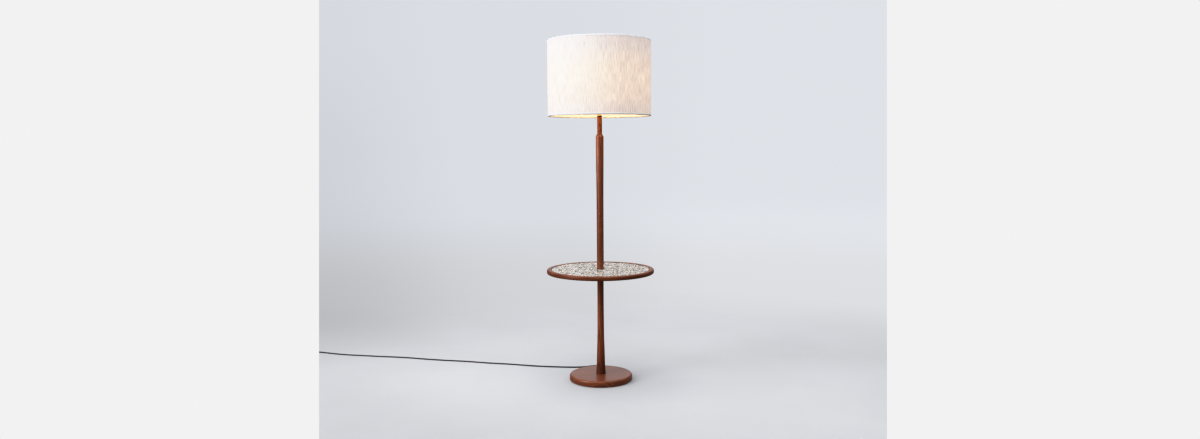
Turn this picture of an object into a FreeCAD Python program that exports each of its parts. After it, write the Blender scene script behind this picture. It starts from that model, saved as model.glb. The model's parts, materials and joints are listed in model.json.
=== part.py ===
import FreeCAD, Part
import math
import os
import Sketcher
from FreeCAD import Placement, Rotation, Vector

# Floor lamp with a round side table on its post.  Millimetres, +Z up, origin at
# the centre of the base's resting face.  The lead leaves the base towards +Y.

os.makedirs("parts", exist_ok=True)
doc = FreeCAD.newDocument("floor_lamp_with_table")
sheet = doc.addObject("Spreadsheet::Sheet", "dims")
sheet.Label = "dims"

# ---------------------------------------------------------------- dimensions
TABLE = [
    # base
    ("felt_rad", 131.0, "felt pad under the base"),
    ("base_low", 2.0, "underside of the wooden disc, top of the felt"),
    ("base_rad", 141.5, "wooden base disc"),
    ("base_top", 28.0, "top face of the base disc"),
    ("base_edge", 9.5, "rounding of the top edge"),
    ("base_heel", 3.0, "rounding of the lower edge"),
    ("recess_rad", 117.0, "recess for the weight"),
    ("recess_top", 21.0, "ceiling of the recess"),
    ("weight_rad", 115.0, "cast weight"),
    ("weight_low", 9.0, "underside of the weight"),
    ("weight_bore", 22.0, "hole in the weight around the nut"),
    ("weight_slot", 9.0, "width of the slot for the lead"),
    ("weight_pitch", 90.0, "radius of the circle of weight screws"),
    ("screw_rad", 2.0, "wood screw shank"),
    ("screw_head", 4.2, "wood screw head"),
    ("screw_cone", 2.4, "height of the countersunk head"),
    ("screw_tip", 25.5, "tip of the weight screws"),
    ("washer_rad", 14.0, "washer under the disc"),
    ("washer_thick", 1.5, "its thickness"),
    ("nut_circle", 8.3, "corner radius of the hex nut"),
    ("nut_high", 3.5, "thickness of the nut"),
    # tube
    ("tube_rad", 4.85, "threaded lamp tube, outside"),
    ("tube_bore", 3.4, "threaded lamp tube, inside"),
    ("tube_low", 15.5, "lower end of the tube"),
    ("tube_high", 1207.2, "upper end of the tube"),
    ("wood_bore", 5.1, "clearance bore in the wooden pieces"),
    # gland and boot
    ("lead_axis", 10.5, "height of the lead where it leaves the base"),
    ("lead_rad", 3.0, "lead, outside radius"),
    ("gland_rad", 6.0, "barrel of the gland"),
    ("gland_flange", 7.4, "flange of the gland"),
    ("gland_thick", 2.0, "thickness of the flange"),
    ("gland_in", 115.4, "inner end of the gland"),
    ("boot_root", 5.4, "boot at the gland"),
    ("boot_tip", 3.9, "boot at its tip"),
    ("boot_long", 22.0, "length of the boot"),
    # post
    ("tenon_rad", 12.0, "tenon of the lower post"),
    ("tenon_deep", 2.5, "depth of the tenon"),
    ("foot_rad", 21.8, "post where it stands on the base"),
    ("waist_rad", 14.15, "straight part of the lower post"),
    ("post_rad", 15.4, "post just above the table"),
    ("head_rad", 17.4, "post just below the shoulder"),
    ("shoulder_low", 1098.5, "start of the shoulder"),
    ("shoulder_top", 1111.5, "top of the shoulder"),
    ("neck_low_rad", 10.9, "neck above the shoulder"),
    ("neck_top_rad", 11.0, "neck at its top"),
    ("neck_top", 1184.8, "top of the neck"),
    ("spigot_rad", 8.0, "spigot under the neck"),
    ("spigot_deep", 14.0, "its length"),
    ("ring_rad", 12.0, "dark ring on the neck"),
    ("ring_thick", 5.4, "its thickness"),
    ("dome_rad", 10.4, "brass cap on the ring"),
    ("dome_top_rad", 7.9, "brass cap at its top"),
    ("dome_high", 6.6, "height of the brass cap"),
    # table
    ("table_rad", 240.2, "outside of the rim"),
    ("table_top", 507.0, "top of the rim"),
    ("rim_low", 488.5, "underside of the rim"),
    ("rim_wide", 21.0, "width of the rim seen from above"),
    ("rebate_rad", 226.0, "rebate that takes the deck"),
    ("deck_low", 490.7, "underside of the deck"),
    ("deck_top", 500.7, "top of the deck"),
    ("bed_top", 502.2, "top of the mortar bed"),
    ("tile_top", 506.2, "top of the tesserae"),
    ("tile_hole", 15.9, "hole around the post"),
    ("deck_hole", 10.0, "hole in the deck and spigot of the upper post"),
    ("deck_spigot", 8.0, "length of the upper post's spigot"),
    ("plate_rad", 45.0, "steel plate under the deck"),
    ("plate_low", 487.7, "underside of the plate"),
    ("plate_pitch", 32.0, "radius of the circle of plate screws"),
    ("pan_rad", 4.0, "pan head of the plate screws"),
    ("pan_high", 2.4, "its height"),
    ("plate_screw_tip", 499.2, "tip of the plate screws"),
    # harp and lampholder
    ("strip_thick", 1.5, "saddle strip"),
    ("leg_x", 24.0, "half distance of the harp's legs"),
    ("tab_top", 1205.2, "top of the saddle's tabs"),
    ("wire_rad", 1.75, "harp wire"),
    ("sleeve_rad", 4.2, "locking sleeve, outside"),
    ("sleeve_bore", 3.1, "locking sleeve, inside"),
    ("sleeve_low", 1198.5, "lower end of the sleeve at rest"),
    ("sleeve_long", 13.0, "its length"),
    ("hub_low", 1491.5, "underside of the harp's top eye"),
    ("hub_high", 1494.5, "top of the harp's top eye"),
    ("hub_rad", 7.0, "harp's top eye"),
    ("stud_neck", 2.5, "swivel shank of the stud"),
    ("stud_seat", 9.0, "seat of the stud"),
    ("stud_rad", 3.175, "threaded end of the stud, quarter inch"),
    ("stud_top", 1510.0, "top of the stud"),
    ("cap_hub", 8.5, "threaded hub of the lampholder cap"),
    ("cap_rad", 17.6, "lampholder cap"),
    ("shell_rad", 16.8, "lampholder shell"),
    ("liner_rad", 16.2, "insulating liner"),
    ("core_rad", 12.6, "moulded interior"),
    ("switch_z", 1224.2, "axis of the switch"),
    ("thread_rad", 13.7, "screw shell, outside"),
    ("bulb_base_rad", 13.0, "lamp cap"),
    ("bulb_rad", 30.0, "glass envelope"),
    # shade
    ("shade_rad", 228.6, "outside of the shade"),
    ("shade_low", 1187.5, "lower edge of the shade"),
    ("shade_high", 1518.0, "upper edge of the shade"),
    ("tape_thick", 0.6, "edge tape"),
    ("tape_high", 7.0, "width of the edge tape"),
    ("cloth_thick", 0.8, "linen"),
    ("liner_thick", 0.5, "stiff liner"),
    ("ring_wire", 1.75, "wire of the shade rings"),
    ("arm_wire", 1.6, "wire of the spider"),
    # lead
    ("lead_floor", 3.1, "axis of the lead on the floor"),
    ("coil_x", -1512.0, "centre of the put-away coil"),
    ("coil_y", 489.0, "centre of the put-away coil"),
    ("coil_out", 42.3, "outside of the coil"),
    ("coil_in", 23.7, "inside of the coil"),
    ("coil_low", 1.0, "underside of the coil"),
    ("coil_high", 13.1, "top of the coil"),
    ("plug_half", 9.2, "half thickness of the plug"),
]

D = {}


class Q(object):
    """A number together with the expression of sheet cells that gives it."""

    def __init__(self, v, e):
        self.v, self.e = float(v), e

    def __add__(self, o):
        o = qq(o)
        return Q(self.v + o.v, "(%s + %s)" % (self.e, o.e))

    __radd__ = __add__

    def __sub__(self, o):
        o = qq(o)
        return Q(self.v - o.v, "(%s - %s)" % (self.e, o.e))

    def __rsub__(self, o):
        return qq(o) - self

    def __mul__(self, o):
        o = qq(o)
        return Q(self.v * o.v, "(%s * %s)" % (self.e, o.e))

    __rmul__ = __mul__

    def __truediv__(self, o):
        o = qq(o)
        return Q(self.v / o.v, "(%s / %s)" % (self.e, o.e))

    def __neg__(self):
        return Q(-self.v, "(-1 * %s)" % self.e)


def qq(o):
    return o if isinstance(o, Q) else Q(o, "%.9g" % float(o))


sheet.set("A1", "name")
sheet.set("B1", "millimetres")
sheet.set("C1", "meaning")
for n, (alias, value, note) in enumerate(TABLE, start=2):
    sheet.set("A%d" % n, alias)
    sheet.set("B%d" % n, "%.6g" % value)
    sheet.setAlias("B%d" % n, alias)
    sheet.set("C%d" % n, note)
    D[alias] = Q(value, "dims." + alias)
doc.recompute()


class Cells(object):
    def __getattr__(self, k):
        return D[k]


d = Cells()
NODES = []          # every sub-part that is written, in order


def keep(obj, label):
    obj.Label = label
    NODES.append(obj)
    return obj


# ------------------------------------------------------- part design helpers
def plane(body, role):
    return [f for f in body.Origin.OriginFeatures if f.Role == role][0]


def body_named(name):
    b = doc.addObject("PartDesign::Body", name)
    return b


def sketch(body, name, role="XZ_Plane", lift=None):
    s = body.newObject("Sketcher::SketchObject", name)
    s.AttachmentSupport = [(plane(body, role), "")]
    s.MapMode = "FlatFace"
    if lift is not None:
        lift = qq(lift)
        s.AttachmentOffset = Placement(Vector(0, 0, lift.v), Rotation())
        s.setExpression("AttachmentOffset.Base.z", lift.e)
    return s


def pin(s, geo, pos, x, y):
    """Ties one point of a sketch to cells of the sheet."""
    for kind, val, axis in (("DistanceX", qq(x), -2), ("DistanceY", qq(y), -1)):
        if abs(val.v) < 1e-9:
            s.addConstraint(Sketcher.Constraint("PointOnObject", geo, pos, axis))
            continue
        if val.v > 0:
            c = s.addConstraint(Sketcher.Constraint(kind, -1, 1, geo, pos, val.v))
            s.setExpression("Constraints[%d]" % c, val.e)
        else:
            c = s.addConstraint(Sketcher.Constraint(kind, geo, pos, -1, 1, -val.v))
            s.setExpression("Constraints[%d]" % c, (-val).e)


def outline(s, pts):
    """Closed polygon with every corner tied to the sheet."""
    pts = [(qq(x), qq(y)) for x, y in pts]
    first = s.GeometryCount
    n = len(pts)
    for i in range(n):
        a, b = pts[i], pts[(i + 1) % n]
        s.addGeometry(Part.LineSegment(Vector(a[0].v, a[1].v, 0), Vector(b[0].v, b[1].v, 0)), False)
    for i in range(n):
        s.addConstraint(Sketcher.Constraint("Coincident", first + i, 2, first + (i + 1) % n, 1))
    for i in range(n):
        pin(s, first + i, 1, pts[i][0], pts[i][1])


def outline_with_curve(s, pts, curve):
    """Closed outline of lines through pts, closed by a spline whose poles are
    curve, from the last of pts to the first.  Every corner and pole is tied."""
    pts = [(qq(x), qq(y)) for x, y in pts]
    curve = [(qq(x), qq(y)) for x, y in curve]
    n = len(pts)
    for i in range(n - 1):
        a, b = pts[i], pts[i + 1]
        s.addGeometry(Part.LineSegment(Vector(a[0].v, a[1].v, 0), Vector(b[0].v, b[1].v, 0)), False)
    poles = [pts[-1]] + curve + [pts[0]]
    m = len(poles)
    deg = 3
    inner = m - deg - 1
    knots = [i / float(inner + 1) for i in range(inner + 2)]
    mults = [deg + 1] + [1] * inner + [deg + 1]
    bs = Part.BSplineCurve()
    bs.buildFromPolesMultsKnots([Vector(x.v, y.v, 0) for x, y in poles], mults, knots, False, deg)
    g = s.addGeometry(bs, False)
    circles = []
    for k, (x, y) in enumerate(poles):
        circles.append(s.addGeometry(Part.Circle(Vector(x.v, y.v, 0), Vector(0, 0, 1), 1.0), True))
    cons = []
    for k, c in enumerate(circles):
        cons.append(Sketcher.Constraint("InternalAlignment:Sketcher::BSplineControlPoint", c, 3, g, k))
        cons.append(Sketcher.Constraint("Weight", c, 1.0))
    s.addConstraint(cons)
    for i in range(n - 2):
        s.addConstraint(Sketcher.Constraint("Coincident", i, 2, i + 1, 1))
    s.addConstraint(Sketcher.Constraint("Coincident", n - 2, 2, g, 1))
    s.addConstraint(Sketcher.Constraint("Coincident", g, 2, 0, 1))
    for i in range(n - 1):
        pin(s, i, 1, pts[i][0], pts[i][1])
    pin(s, n - 2, 2, pts[-1][0], pts[-1][1])
    for k in range(1, m - 1):
        pin(s, circles[k], 3, poles[k][0], poles[k][1])


def circle(s, x, y, r):
    r = qq(r)
    g = s.addGeometry(Part.Circle(Vector(qq(x).v, qq(y).v, 0), Vector(0, 0, 1), r.v), False)
    if abs(qq(x).v) < 1e-9 and abs(qq(y).v) < 1e-9:
        s.addConstraint(Sketcher.Constraint("Coincident", g, 3, -1, 1))
    else:
        pin(s, g, 3, x, y)
    c = s.addConstraint(Sketcher.Constraint("Radius", g, r.v))
    s.setExpression("Constraints[%d]" % c, r.e)


def revolve(body, name, pts, curve=None):
    s = sketch(body, name + "_sketch")
    if curve is None:
        outline(s, pts)
    else:
        outline_with_curve(s, pts, curve)
    r = body.newObject("PartDesign::Revolution", name)
    r.Profile = s
    r.ReferenceAxis = (s, ["V_Axis"])
    r.Angle = 360.0
    s.Visibility = False
    doc.recompute()
    return r


def turned(name, pts, curve=None, place=None):
    """A turned piece: one body with one revolution of (radius, height) points."""
    b = body_named(name)
    revolve(b, name + "_turn", pts, curve)
    if place is not None:
        b.Placement = place
    keep(b, name)
    return b


def rings(shape, radius, z, tol=0.02):
    """Names of the circular edges of a given radius at a given height."""
    out = []
    for i, e in enumerate(shape.Edges, start=1):
        c = getattr(e, "Curve", None)
        if c is not None and c.TypeId == "Part::GeomCircle" and abs(c.Radius - radius) < tol \
                and abs(c.Center.z - z) < tol and abs(abs(c.Axis.z) - 1) < 1e-6:
            out.append("Edge%d" % i)
    if not out:
        raise RuntimeError("no ring edge of radius %.3f at %.3f" % (radius, z))
    return out


def round_over(body, name, radius, picks):
    base = body.Tip
    names = []
    for r, z in picks:
        names += rings(base.Shape, qq(r).v, qq(z).v)
    f = body.newObject("PartDesign::Fillet", name)
    f.Base = (base, names)
    f.Radius = qq(radius).v
    f.setExpression("Radius", qq(radius).e)
    doc.recompute()
    return f


def bevel(body, name, size, picks):
    base = body.Tip
    names = []
    for r, z in picks:
        names += rings(base.Shape, qq(r).v, qq(z).v)
    f = body.newObject("PartDesign::Chamfer", name)
    f.Base = (base, names)
    f.Size = qq(size).v
    doc.recompute()
    return f


def cut_feature(body, name, s, length=None, through=False, flip=False, both=False):
    before = body.Tip.Shape.Volume
    p = body.newObject("PartDesign::Pocket", name)
    p.Profile = s
    if through:
        p.Type = "ThroughAll"
    else:
        p.Type = "Length"
        p.Length = qq(length).v
        p.setExpression("Length", qq(length).e)
    p.Reversed = flip
    if both:
        p.Midplane = True
    s.Visibility = False
    doc.recompute()
    if not body.Tip.Shape.Volume < before - 1e-3:
        raise RuntimeError("%s cut nothing" % name)
    return p


def pad_feature(body, name, s, length, flip=False, both=False):
    p = body.newObject("PartDesign::Pad", name)
    p.Profile = s
    p.Type = "Length"
    p.Length = qq(length).v
    p.setExpression("Length", qq(length).e)
    p.Reversed = flip
    if both:
        p.Midplane = True
    s.Visibility = False
    doc.recompute()
    return p


def polar(body, name, feature, count):
    before = body.Tip.Shape.Volume
    p = body.newObject("PartDesign::PolarPattern", name)
    p.Originals = [feature]
    p.Axis = ([f for f in body.Origin.OriginFeatures if f.Role == "Z_Axis"][0], [""])
    p.Angle = 360.0
    p.Occurrences = count
    body.Tip = p
    doc.recompute()
    if abs(body.Tip.Shape.Volume - before) < 1e-3:
        raise RuntimeError("%s repeated nothing" % name)
    return p


# ------------------------------------------------------------- part helpers
def cyl(name, r, z0, height, x=0, y=0, axis=None):
    c = doc.addObject("Part::Cylinder", name)
    r, z0, height, x, y = [qq(v) for v in (r, z0, height, x, y)]
    c.Radius, c.Height = r.v, height.v
    c.setExpression("Radius", r.e)
    c.setExpression("Height", height.e)
    c.Placement = Placement(Vector(x.v, y.v, z0.v), axis or Rotation())
    c.setExpression("Placement.Base.x", x.e)
    c.setExpression("Placement.Base.y", y.e)
    c.setExpression("Placement.Base.z", z0.e)
    c.Visibility = False
    return c


def cone(name, r1, r2, z0, height, x=0, y=0):
    c = doc.addObject("Part::Cone", name)
    r1, r2, z0, height, x, y = [qq(v) for v in (r1, r2, z0, height, x, y)]
    c.Radius1, c.Radius2, c.Height = r1.v, r2.v, height.v
    c.setExpression("Radius1", r1.e)
    c.setExpression("Radius2", r2.e)
    c.setExpression("Height", height.e)
    c.Placement = Placement(Vector(x.v, y.v, z0.v), Rotation())
    c.setExpression("Placement.Base.x", x.e)
    c.setExpression("Placement.Base.y", y.e)
    c.setExpression("Placement.Base.z", z0.e)
    c.Visibility = False
    return c


def block(name, x0, x1, y0, y1, z0, z1):
    b = doc.addObject("Part::Box", name)
    x0, x1, y0, y1, z0, z1 = [qq(v) for v in (x0, x1, y0, y1, z0, z1)]
    for prop, lo, hi in (("Length", x0, x1), ("Width", y0, y1), ("Height", z0, z1)):
        span = hi - lo
        setattr(b, prop, span.v)
        b.setExpression(prop, span.e)
    b.Placement = Placement(Vector(x0.v, y0.v, z0.v), Rotation())
    b.setExpression("Placement.Base.x", x0.e)
    b.setExpression("Placement.Base.y", y0.e)
    b.setExpression("Placement.Base.z", z0.e)
    b.Visibility = False
    return b


def fuse(name, items):
    f = doc.addObject("Part::MultiFuse", name)
    f.Shapes = items
    f.Refine = True
    f.Visibility = False
    return f


def minus(name, base, tool):
    c = doc.addObject("Part::Cut", name)
    c.Base, c.Tool = base, tool
    c.Refine = True
    return c


def group(name, items):
    g = doc.addObject("Part::Compound", name)
    g.Links = items
    return g


def feature(name, shape, place=None):
    """A piece whose shape is worked out from the sheet here."""
    f = doc.addObject("Part::Feature", name)
    f.Shape = shape
    f.Placement = place or Placement()
    return f


def around(n, start=0.0):
    return [math.radians(start + 360.0 * i / n) for i in range(n)]


def rounded_path(points, tag, factor=0.45):
    """Straight runs joined by tangent arcs.  The radius of each arc is 0.45 of
    the shorter run divided by the tangent of half the turn."""
    P = [Vector(*p) for p in points]
    edges, radii, cur = [], [], P[0]
    for i in range(1, len(P) - 1):
        u = P[i] - P[i - 1]
        w = P[i + 1] - P[i]
        lu, lw = u.Length, w.Length
        u.normalize()
        w.normalize()
        turn = u.getAngle(w)
        if turn < 1e-4:
            raise RuntimeError("%s: point %d is in line" % (tag, i))
        t = factor * min(lu, lw)
        r = t / math.tan(turn / 2.0)
        radii.append((i, r, math.degrees(turn)))
        a = P[i] - u * t
        b = P[i] + w * t
        bis = w - u
        bis.normalize()
        centre = P[i] + bis * (r / math.cos(turn / 2.0))
        m = centre - bis * r
        edges.append(Part.LineSegment(cur, a).toShape())
        edges.append(Part.Arc(a, m, b).toShape())
        cur = b
    edges.append(Part.LineSegment(cur, P[-1]).toShape())
    wire = Part.Wire(edges)
    print("%s: length %.1f, radii %s" % (tag, wire.Length,
          ", ".join("%d:%.0f(%.0f)" % x for x in radii)))
    return wire


def sweep_round(wire, radius, tag):
    e = wire.Edges[0]
    p0 = wire.Edges[0].Vertexes[0].Point
    t0 = wire.Edges[0].tangentAt(wire.Edges[0].FirstParameter)
    ring = Part.Wire([Part.Circle(p0, t0, radius).toShape()])
    pipe = Part.BRepOffsetAPI.MakePipeShell(wire)
    pipe.setFrenetMode(False)
    pipe.add(ring, False, False)
    pipe.build()
    pipe.makeSolid()
    s = pipe.shape()
    if s.Volume < 0:
        s.reverse()
    want = math.pi * radius * radius * wire.Length
    print("%s: volume %.1f, section x length %.1f, ratio %.5f" % (tag, s.Volume, want, s.Volume / want))
    if abs(s.Volume / want - 1.0) > 0.01:
        raise RuntimeError("%s: tube volume is off" % tag)
    return s


# ==================================================================== base
turned("base_felt", [(0, 0), (d.felt_rad, 0), (d.felt_rad, d.base_low), (0, d.base_low)])

b = body_named("base_disc")
revolve(b, "base_disc_turn", [
    (d.wood_bore, d.recess_top), (d.recess_rad, d.recess_top), (d.recess_rad, d.base_low),
    (d.base_rad, d.base_low), (d.base_rad, d.base_top), (d.tenon_rad, d.base_top),
    (d.tenon_rad, d.base_top - d.tenon_deep), (d.wood_bore, d.base_top - d.tenon_deep)])
round_over(b, "base_disc_top_edge", d.base_edge, [(d.base_rad, d.base_top)])
round_over(b, "base_disc_heel", d.base_heel, [(d.base_rad, d.base_low)])
s = sketch(b, "base_disc_lead_hole_sketch", "XZ_Plane")
circle(s, 0, d.lead_axis, d.gland_rad)
cut_feature(b, "base_disc_lead_hole", s, through=True)
s = sketch(b, "base_disc_pilot_sketch", "XY_Plane", d.recess_top)
circle(s, 0, -d.weight_pitch, d.screw_rad)
p = cut_feature(b, "base_disc_pilot", s, length=d.screw_tip - d.recess_top, flip=True)
polar(b, "base_disc_pilots", p, 3)
keep(b, "base_disc")

# cast weight with a slot for the lead and three countersunk holes
spots = [(math.cos(a), math.sin(a)) for a in around(3, -90.0)]
holes = []
for i, (cx, cy) in enumerate(spots):
    x, y = d.weight_pitch * cx, d.weight_pitch * cy
    holes.append(cyl("weight_hole_%d" % i, d.screw_rad + 0.3, d.weight_low - 1, 16, x, y))
    holes.append(cone("weight_sink_%d" % i, d.screw_head + 0.3, d.screw_rad + 0.3, d.weight_low, d.screw_cone, x, y))
slot = block("weight_slot_cut", -(d.weight_slot / 2), d.weight_slot / 2, 0, d.weight_rad + 5,
             d.weight_low - 1, d.recess_top + 1)
tools = fuse("weight_tools", holes + [slot, cyl("weight_bore_cut", d.weight_bore, d.weight_low - 1, 16)])
weight = minus("base_weight", cyl("weight_disc", d.weight_rad, d.weight_low, d.recess_top - d.weight_low), tools)
doc.recompute()
keep(weight, "base_weight")

screws = []
for i, (cx, cy) in enumerate(spots):
    x, y = d.weight_pitch * cx, d.weight_pitch * cy
    head = cone("weight_screw_head_%d" % i, d.screw_head, d.screw_rad, d.weight_low, d.screw_cone, x, y)
    shank = cyl("weight_screw_shank_%d" % i, d.screw_rad, d.weight_low + d.screw_cone,
                d.screw_tip - d.weight_low - d.screw_cone, x, y)
    driver = cyl("weight_screw_driver_%d" % i, 1.3, d.weight_low, 1.6, x, y)
    solid = fuse("weight_screw_solid_%d" % i, [head, shank])
    one = minus("weight_screw_%d" % i, solid, driver)
    one.Visibility = False
    screws.append(one)
keep(group("weight_screws", screws), "weight_screws")

turned("base_washer", [
    (d.wood_bore, d.recess_top - d.washer_thick), (d.washer_rad, d.recess_top - d.washer_thick),
    (d.washer_rad, d.recess_top), (d.wood_bore, d.recess_top)])

nut_top = d.recess_top - d.washer_thick
hexa = doc.addObject("Part::Prism", "base_nut_hex")
hexa.Polygon = 6
hexa.setExpression("Circumradius", d.nut_circle.e)
hexa.setExpression("Height", d.nut_high.e)
hexa.Placement = Placement(Vector(0, 0, (nut_top - d.nut_high).v), Rotation())
hexa.setExpression("Placement.Base.z", (nut_top - d.nut_high).e)
hexa.Visibility = False
keep(minus("base_nut", hexa, cyl("base_nut_bore", d.tube_rad, nut_top - d.nut_high - 1, d.nut_high + 2)),
     "base_nut")

# gland and boot, turned about the lead's axis, which points to +Y
to_back = Placement(Vector(0, 0, 10.5), Rotation(Vector(1, 0, 0), -90))
face = d.base_rad + d.gland_thick
g = turned("base_gland", [
    (d.lead_rad + 0.1, d.gland_in), (d.gland_rad, d.gland_in), (d.gland_rad, d.base_rad),
    (d.gland_flange, d.base_rad), (d.gland_flange, face), (d.lead_rad + 0.1, face)], place=to_back)
g.setExpression("Placement.Base.z", d.lead_axis.e)
bo = d.lead_rad + 0.02
L = d.boot_long
steps = [(bo, face), (d.boot_root, face)]
for k in range(3):
    y0 = face + 5.0 + 5.0 * k
    r0 = 5.4 - 0.3 * (k + 1)
    steps += [(d.boot_root - (0.35 * (k + 1) - 0.05), y0), (d.boot_root - (0.35 * (k + 1) + 0.9), y0 + 0.4),
              (d.boot_root - (0.35 * (k + 1) + 0.9), y0 + 1.6), (d.boot_root - (0.35 * (k + 1) + 0.05), y0 + 2.0)]
steps += [(d.boot_tip, face + L), (bo, face + L)]
g = turned("strain_relief", steps, place=to_back)
g.setExpression("Placement.Base.z", d.lead_axis.e)

# ==================================================================== post
# lower post: straight below the table, then a long trumpet foot
lp = d.plate_low
turned("lower_post",
       [(d.foot_rad, d.base_top), (d.tenon_rad, d.base_top), (d.tenon_rad, d.base_top - d.tenon_deep),
        (d.wood_bore, d.base_top - d.tenon_deep), (d.wood_bore, lp), (d.waist_rad, lp)],
       curve=[(d.waist_rad - 0.05, lp - 85), (d.waist_rad, lp - 175), (d.waist_rad + 0.75, lp - 238),
              (d.waist_rad + 0.95, lp - 292), (d.waist_rad + 3.15, lp - 340), (d.waist_rad + 3.95, lp - 392),
              (d.waist_rad + 5.3, lp - 432)])

# upper post: slowly thicker towards the shoulder
turned("upper_post",
       [(d.head_rad, d.shoulder_low), (d.head_rad - 0.25, d.shoulder_low + 1.5), (d.head_rad - 0.9, d.shoulder_low + 3.0),
        (d.head_rad - 1.9, d.shoulder_low + 4.6), (d.head_rad - 3.2, d.shoulder_low + 6.6),
        (d.head_rad - 4.4, d.shoulder_low + 8.8), (d.head_rad - 5.4, d.shoulder_low + 11.0),
        (d.neck_low_rad + 0.25, d.shoulder_top - 0.6), (d.neck_low_rad + 0.1, d.shoulder_top), (d.spigot_rad, d.shoulder_top),
        (d.spigot_rad, d.shoulder_top - d.spigot_deep),
        (d.wood_bore, d.shoulder_top - d.spigot_deep), (d.wood_bore, d.deck_top - d.deck_spigot),
        (d.deck_hole, d.deck_top - d.deck_spigot), (d.deck_hole, d.deck_top), (d.post_rad, d.deck_top)],
       curve=[(d.post_rad - 0.08, d.deck_top + 90), (d.post_rad + 0.05, d.deck_top + 200),
              (d.post_rad + 0.15, d.deck_top + 345), (d.post_rad + 1.15, d.deck_top + 445), (d.head_rad - 0.1, d.deck_top + 530)])

turned("neck",
       [(d.neck_top_rad, d.neck_top), (d.wood_bore, d.neck_top), (d.wood_bore, d.shoulder_top - d.spigot_deep),
        (d.spigot_rad, d.shoulder_top - d.spigot_deep), (d.spigot_rad, d.shoulder_top),
        (d.neck_low_rad, d.shoulder_top)],
       curve=[(d.neck_low_rad - 0.15, d.shoulder_top + 10), (d.neck_low_rad - 0.2, d.shoulder_top + 30),
              (d.neck_low_rad - 0.05, d.shoulder_top + 52)])

turned("lamp_tube", [(d.tube_bore, d.tube_low), (d.tube_rad, d.tube_low), (d.tube_rad, d.tube_high),
                     (d.tube_bore, d.tube_high)])

b = body_named("neck_ring")
revolve(b, "neck_ring_turn", [(d.wood_bore, d.neck_top), (d.ring_rad, d.neck_top),
                              (d.ring_rad, d.neck_top + d.ring_thick), (d.wood_bore, d.neck_top + d.ring_thick)])
round_over(b, "neck_ring_edges", 1.4, [(d.ring_rad, d.neck_top), (d.ring_rad, d.neck_top + d.ring_thick)])
keep(b, "neck_ring")

# brass cap between the ring and the saddle
dome0 = d.neck_top + d.ring_thick
turned("neck_cap", [
    (d.wood_bore, dome0), (d.dome_rad, dome0), (d.dome_rad, dome0 + 1.0), (d.dome_rad - 0.35, dome0 + 1.7),
    (d.dome_rad - 0.9, dome0 + 2.5), (d.dome_rad - 1.6, dome0 + 3.4), (d.dome_top_rad + 0.25, dome0 + 4.6),
    (d.dome_top_rad, dome0 + 5.6), (d.dome_top_rad, dome0 + d.dome_high), (d.wood_bore, dome0 + d.dome_high)])

# =================================================================== table
b = body_named("table_rim")
inner = d.table_rad - d.rim_wide
revolve(b, "table_rim_turn", [
    (inner, d.deck_top), (d.rebate_rad, d.deck_top), (d.rebate_rad, d.rim_low), (d.table_rad, d.rim_low),
    (d.table_rad, d.table_top), (inner, d.table_top)])
round_over(b, "table_rim_top_edge", 6.0, [(d.table_rad, d.table_top)])
round_over(b, "table_rim_low_edge", 5.0, [(d.table_rad, d.rim_low)])
round_over(b, "table_rim_lip", 1.6, [(inner, d.table_top)])
keep(b, "table_rim")

b = body_named("table_deck")
revolve(b, "table_deck_turn", [(d.deck_hole, d.deck_low), (d.rebate_rad, d.deck_low),
                               (d.rebate_rad, d.deck_top), (d.deck_hole, d.deck_top)])
s = sketch(b, "table_deck_pilot_sketch", "XY_Plane", d.deck_low)
circle(s, d.plate_pitch, 0, d.screw_rad)
p = cut_feature(b, "table_deck_pilot", s, length=d.plate_screw_tip - d.deck_low, flip=True)
polar(b, "table_deck_pilots", p, 4)
keep(b, "table_deck")

turned("mortar_bed", [(d.tile_hole, d.deck_top), (inner, d.deck_top), (inner, d.bed_top), (d.tile_hole, d.bed_top)])
turned("table_tiles", [(d.tile_hole, d.bed_top), (inner, d.bed_top), (inner, d.tile_top), (d.tile_hole, d.tile_top)])

b = body_named("table_plate")
revolve(b, "table_plate_turn", [(d.wood_bore, d.plate_low), (d.plate_rad, d.plate_low),
                                (d.plate_rad, d.deck_low), (d.wood_bore, d.deck_low)])
s = sketch(b, "table_plate_hole_sketch", "XY_Plane", d.plate_low)
circle(s, d.plate_pitch, 0, d.screw_rad + 0.3)
p = cut_feature(b, "table_plate_hole", s, length=d.deck_low - d.plate_low, flip=True)
polar(b, "table_plate_holes", p, 4)
bevel(b, "table_plate_edge", 0.8, [(d.plate_rad, d.plate_low)])
keep(b, "table_plate")

screws = []
for i, a in enumerate(around(4)):
    x, y = d.plate_pitch * math.cos(a), d.plate_pitch * math.sin(a)
    head = cone("table_screw_head_%d" % i, d.pan_rad - 1.1, d.pan_rad, d.plate_low - d.pan_high, d.pan_high, x, y)
    shank = cyl("table_screw_shank_%d" % i, d.screw_rad, d.plate_low, d.plate_screw_tip - d.plate_low, x, y)
    driver = cyl("table_screw_driver_%d" % i, 1.3, d.plate_low - d.pan_high, 1.3, x, y)
    one = minus("table_screw_%d" % i, fuse("table_screw_solid_%d" % i, [head, shank]), driver)
    one.Visibility = False
    screws.append(one)
keep(group("table_screws", screws), "table_screws")

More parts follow.
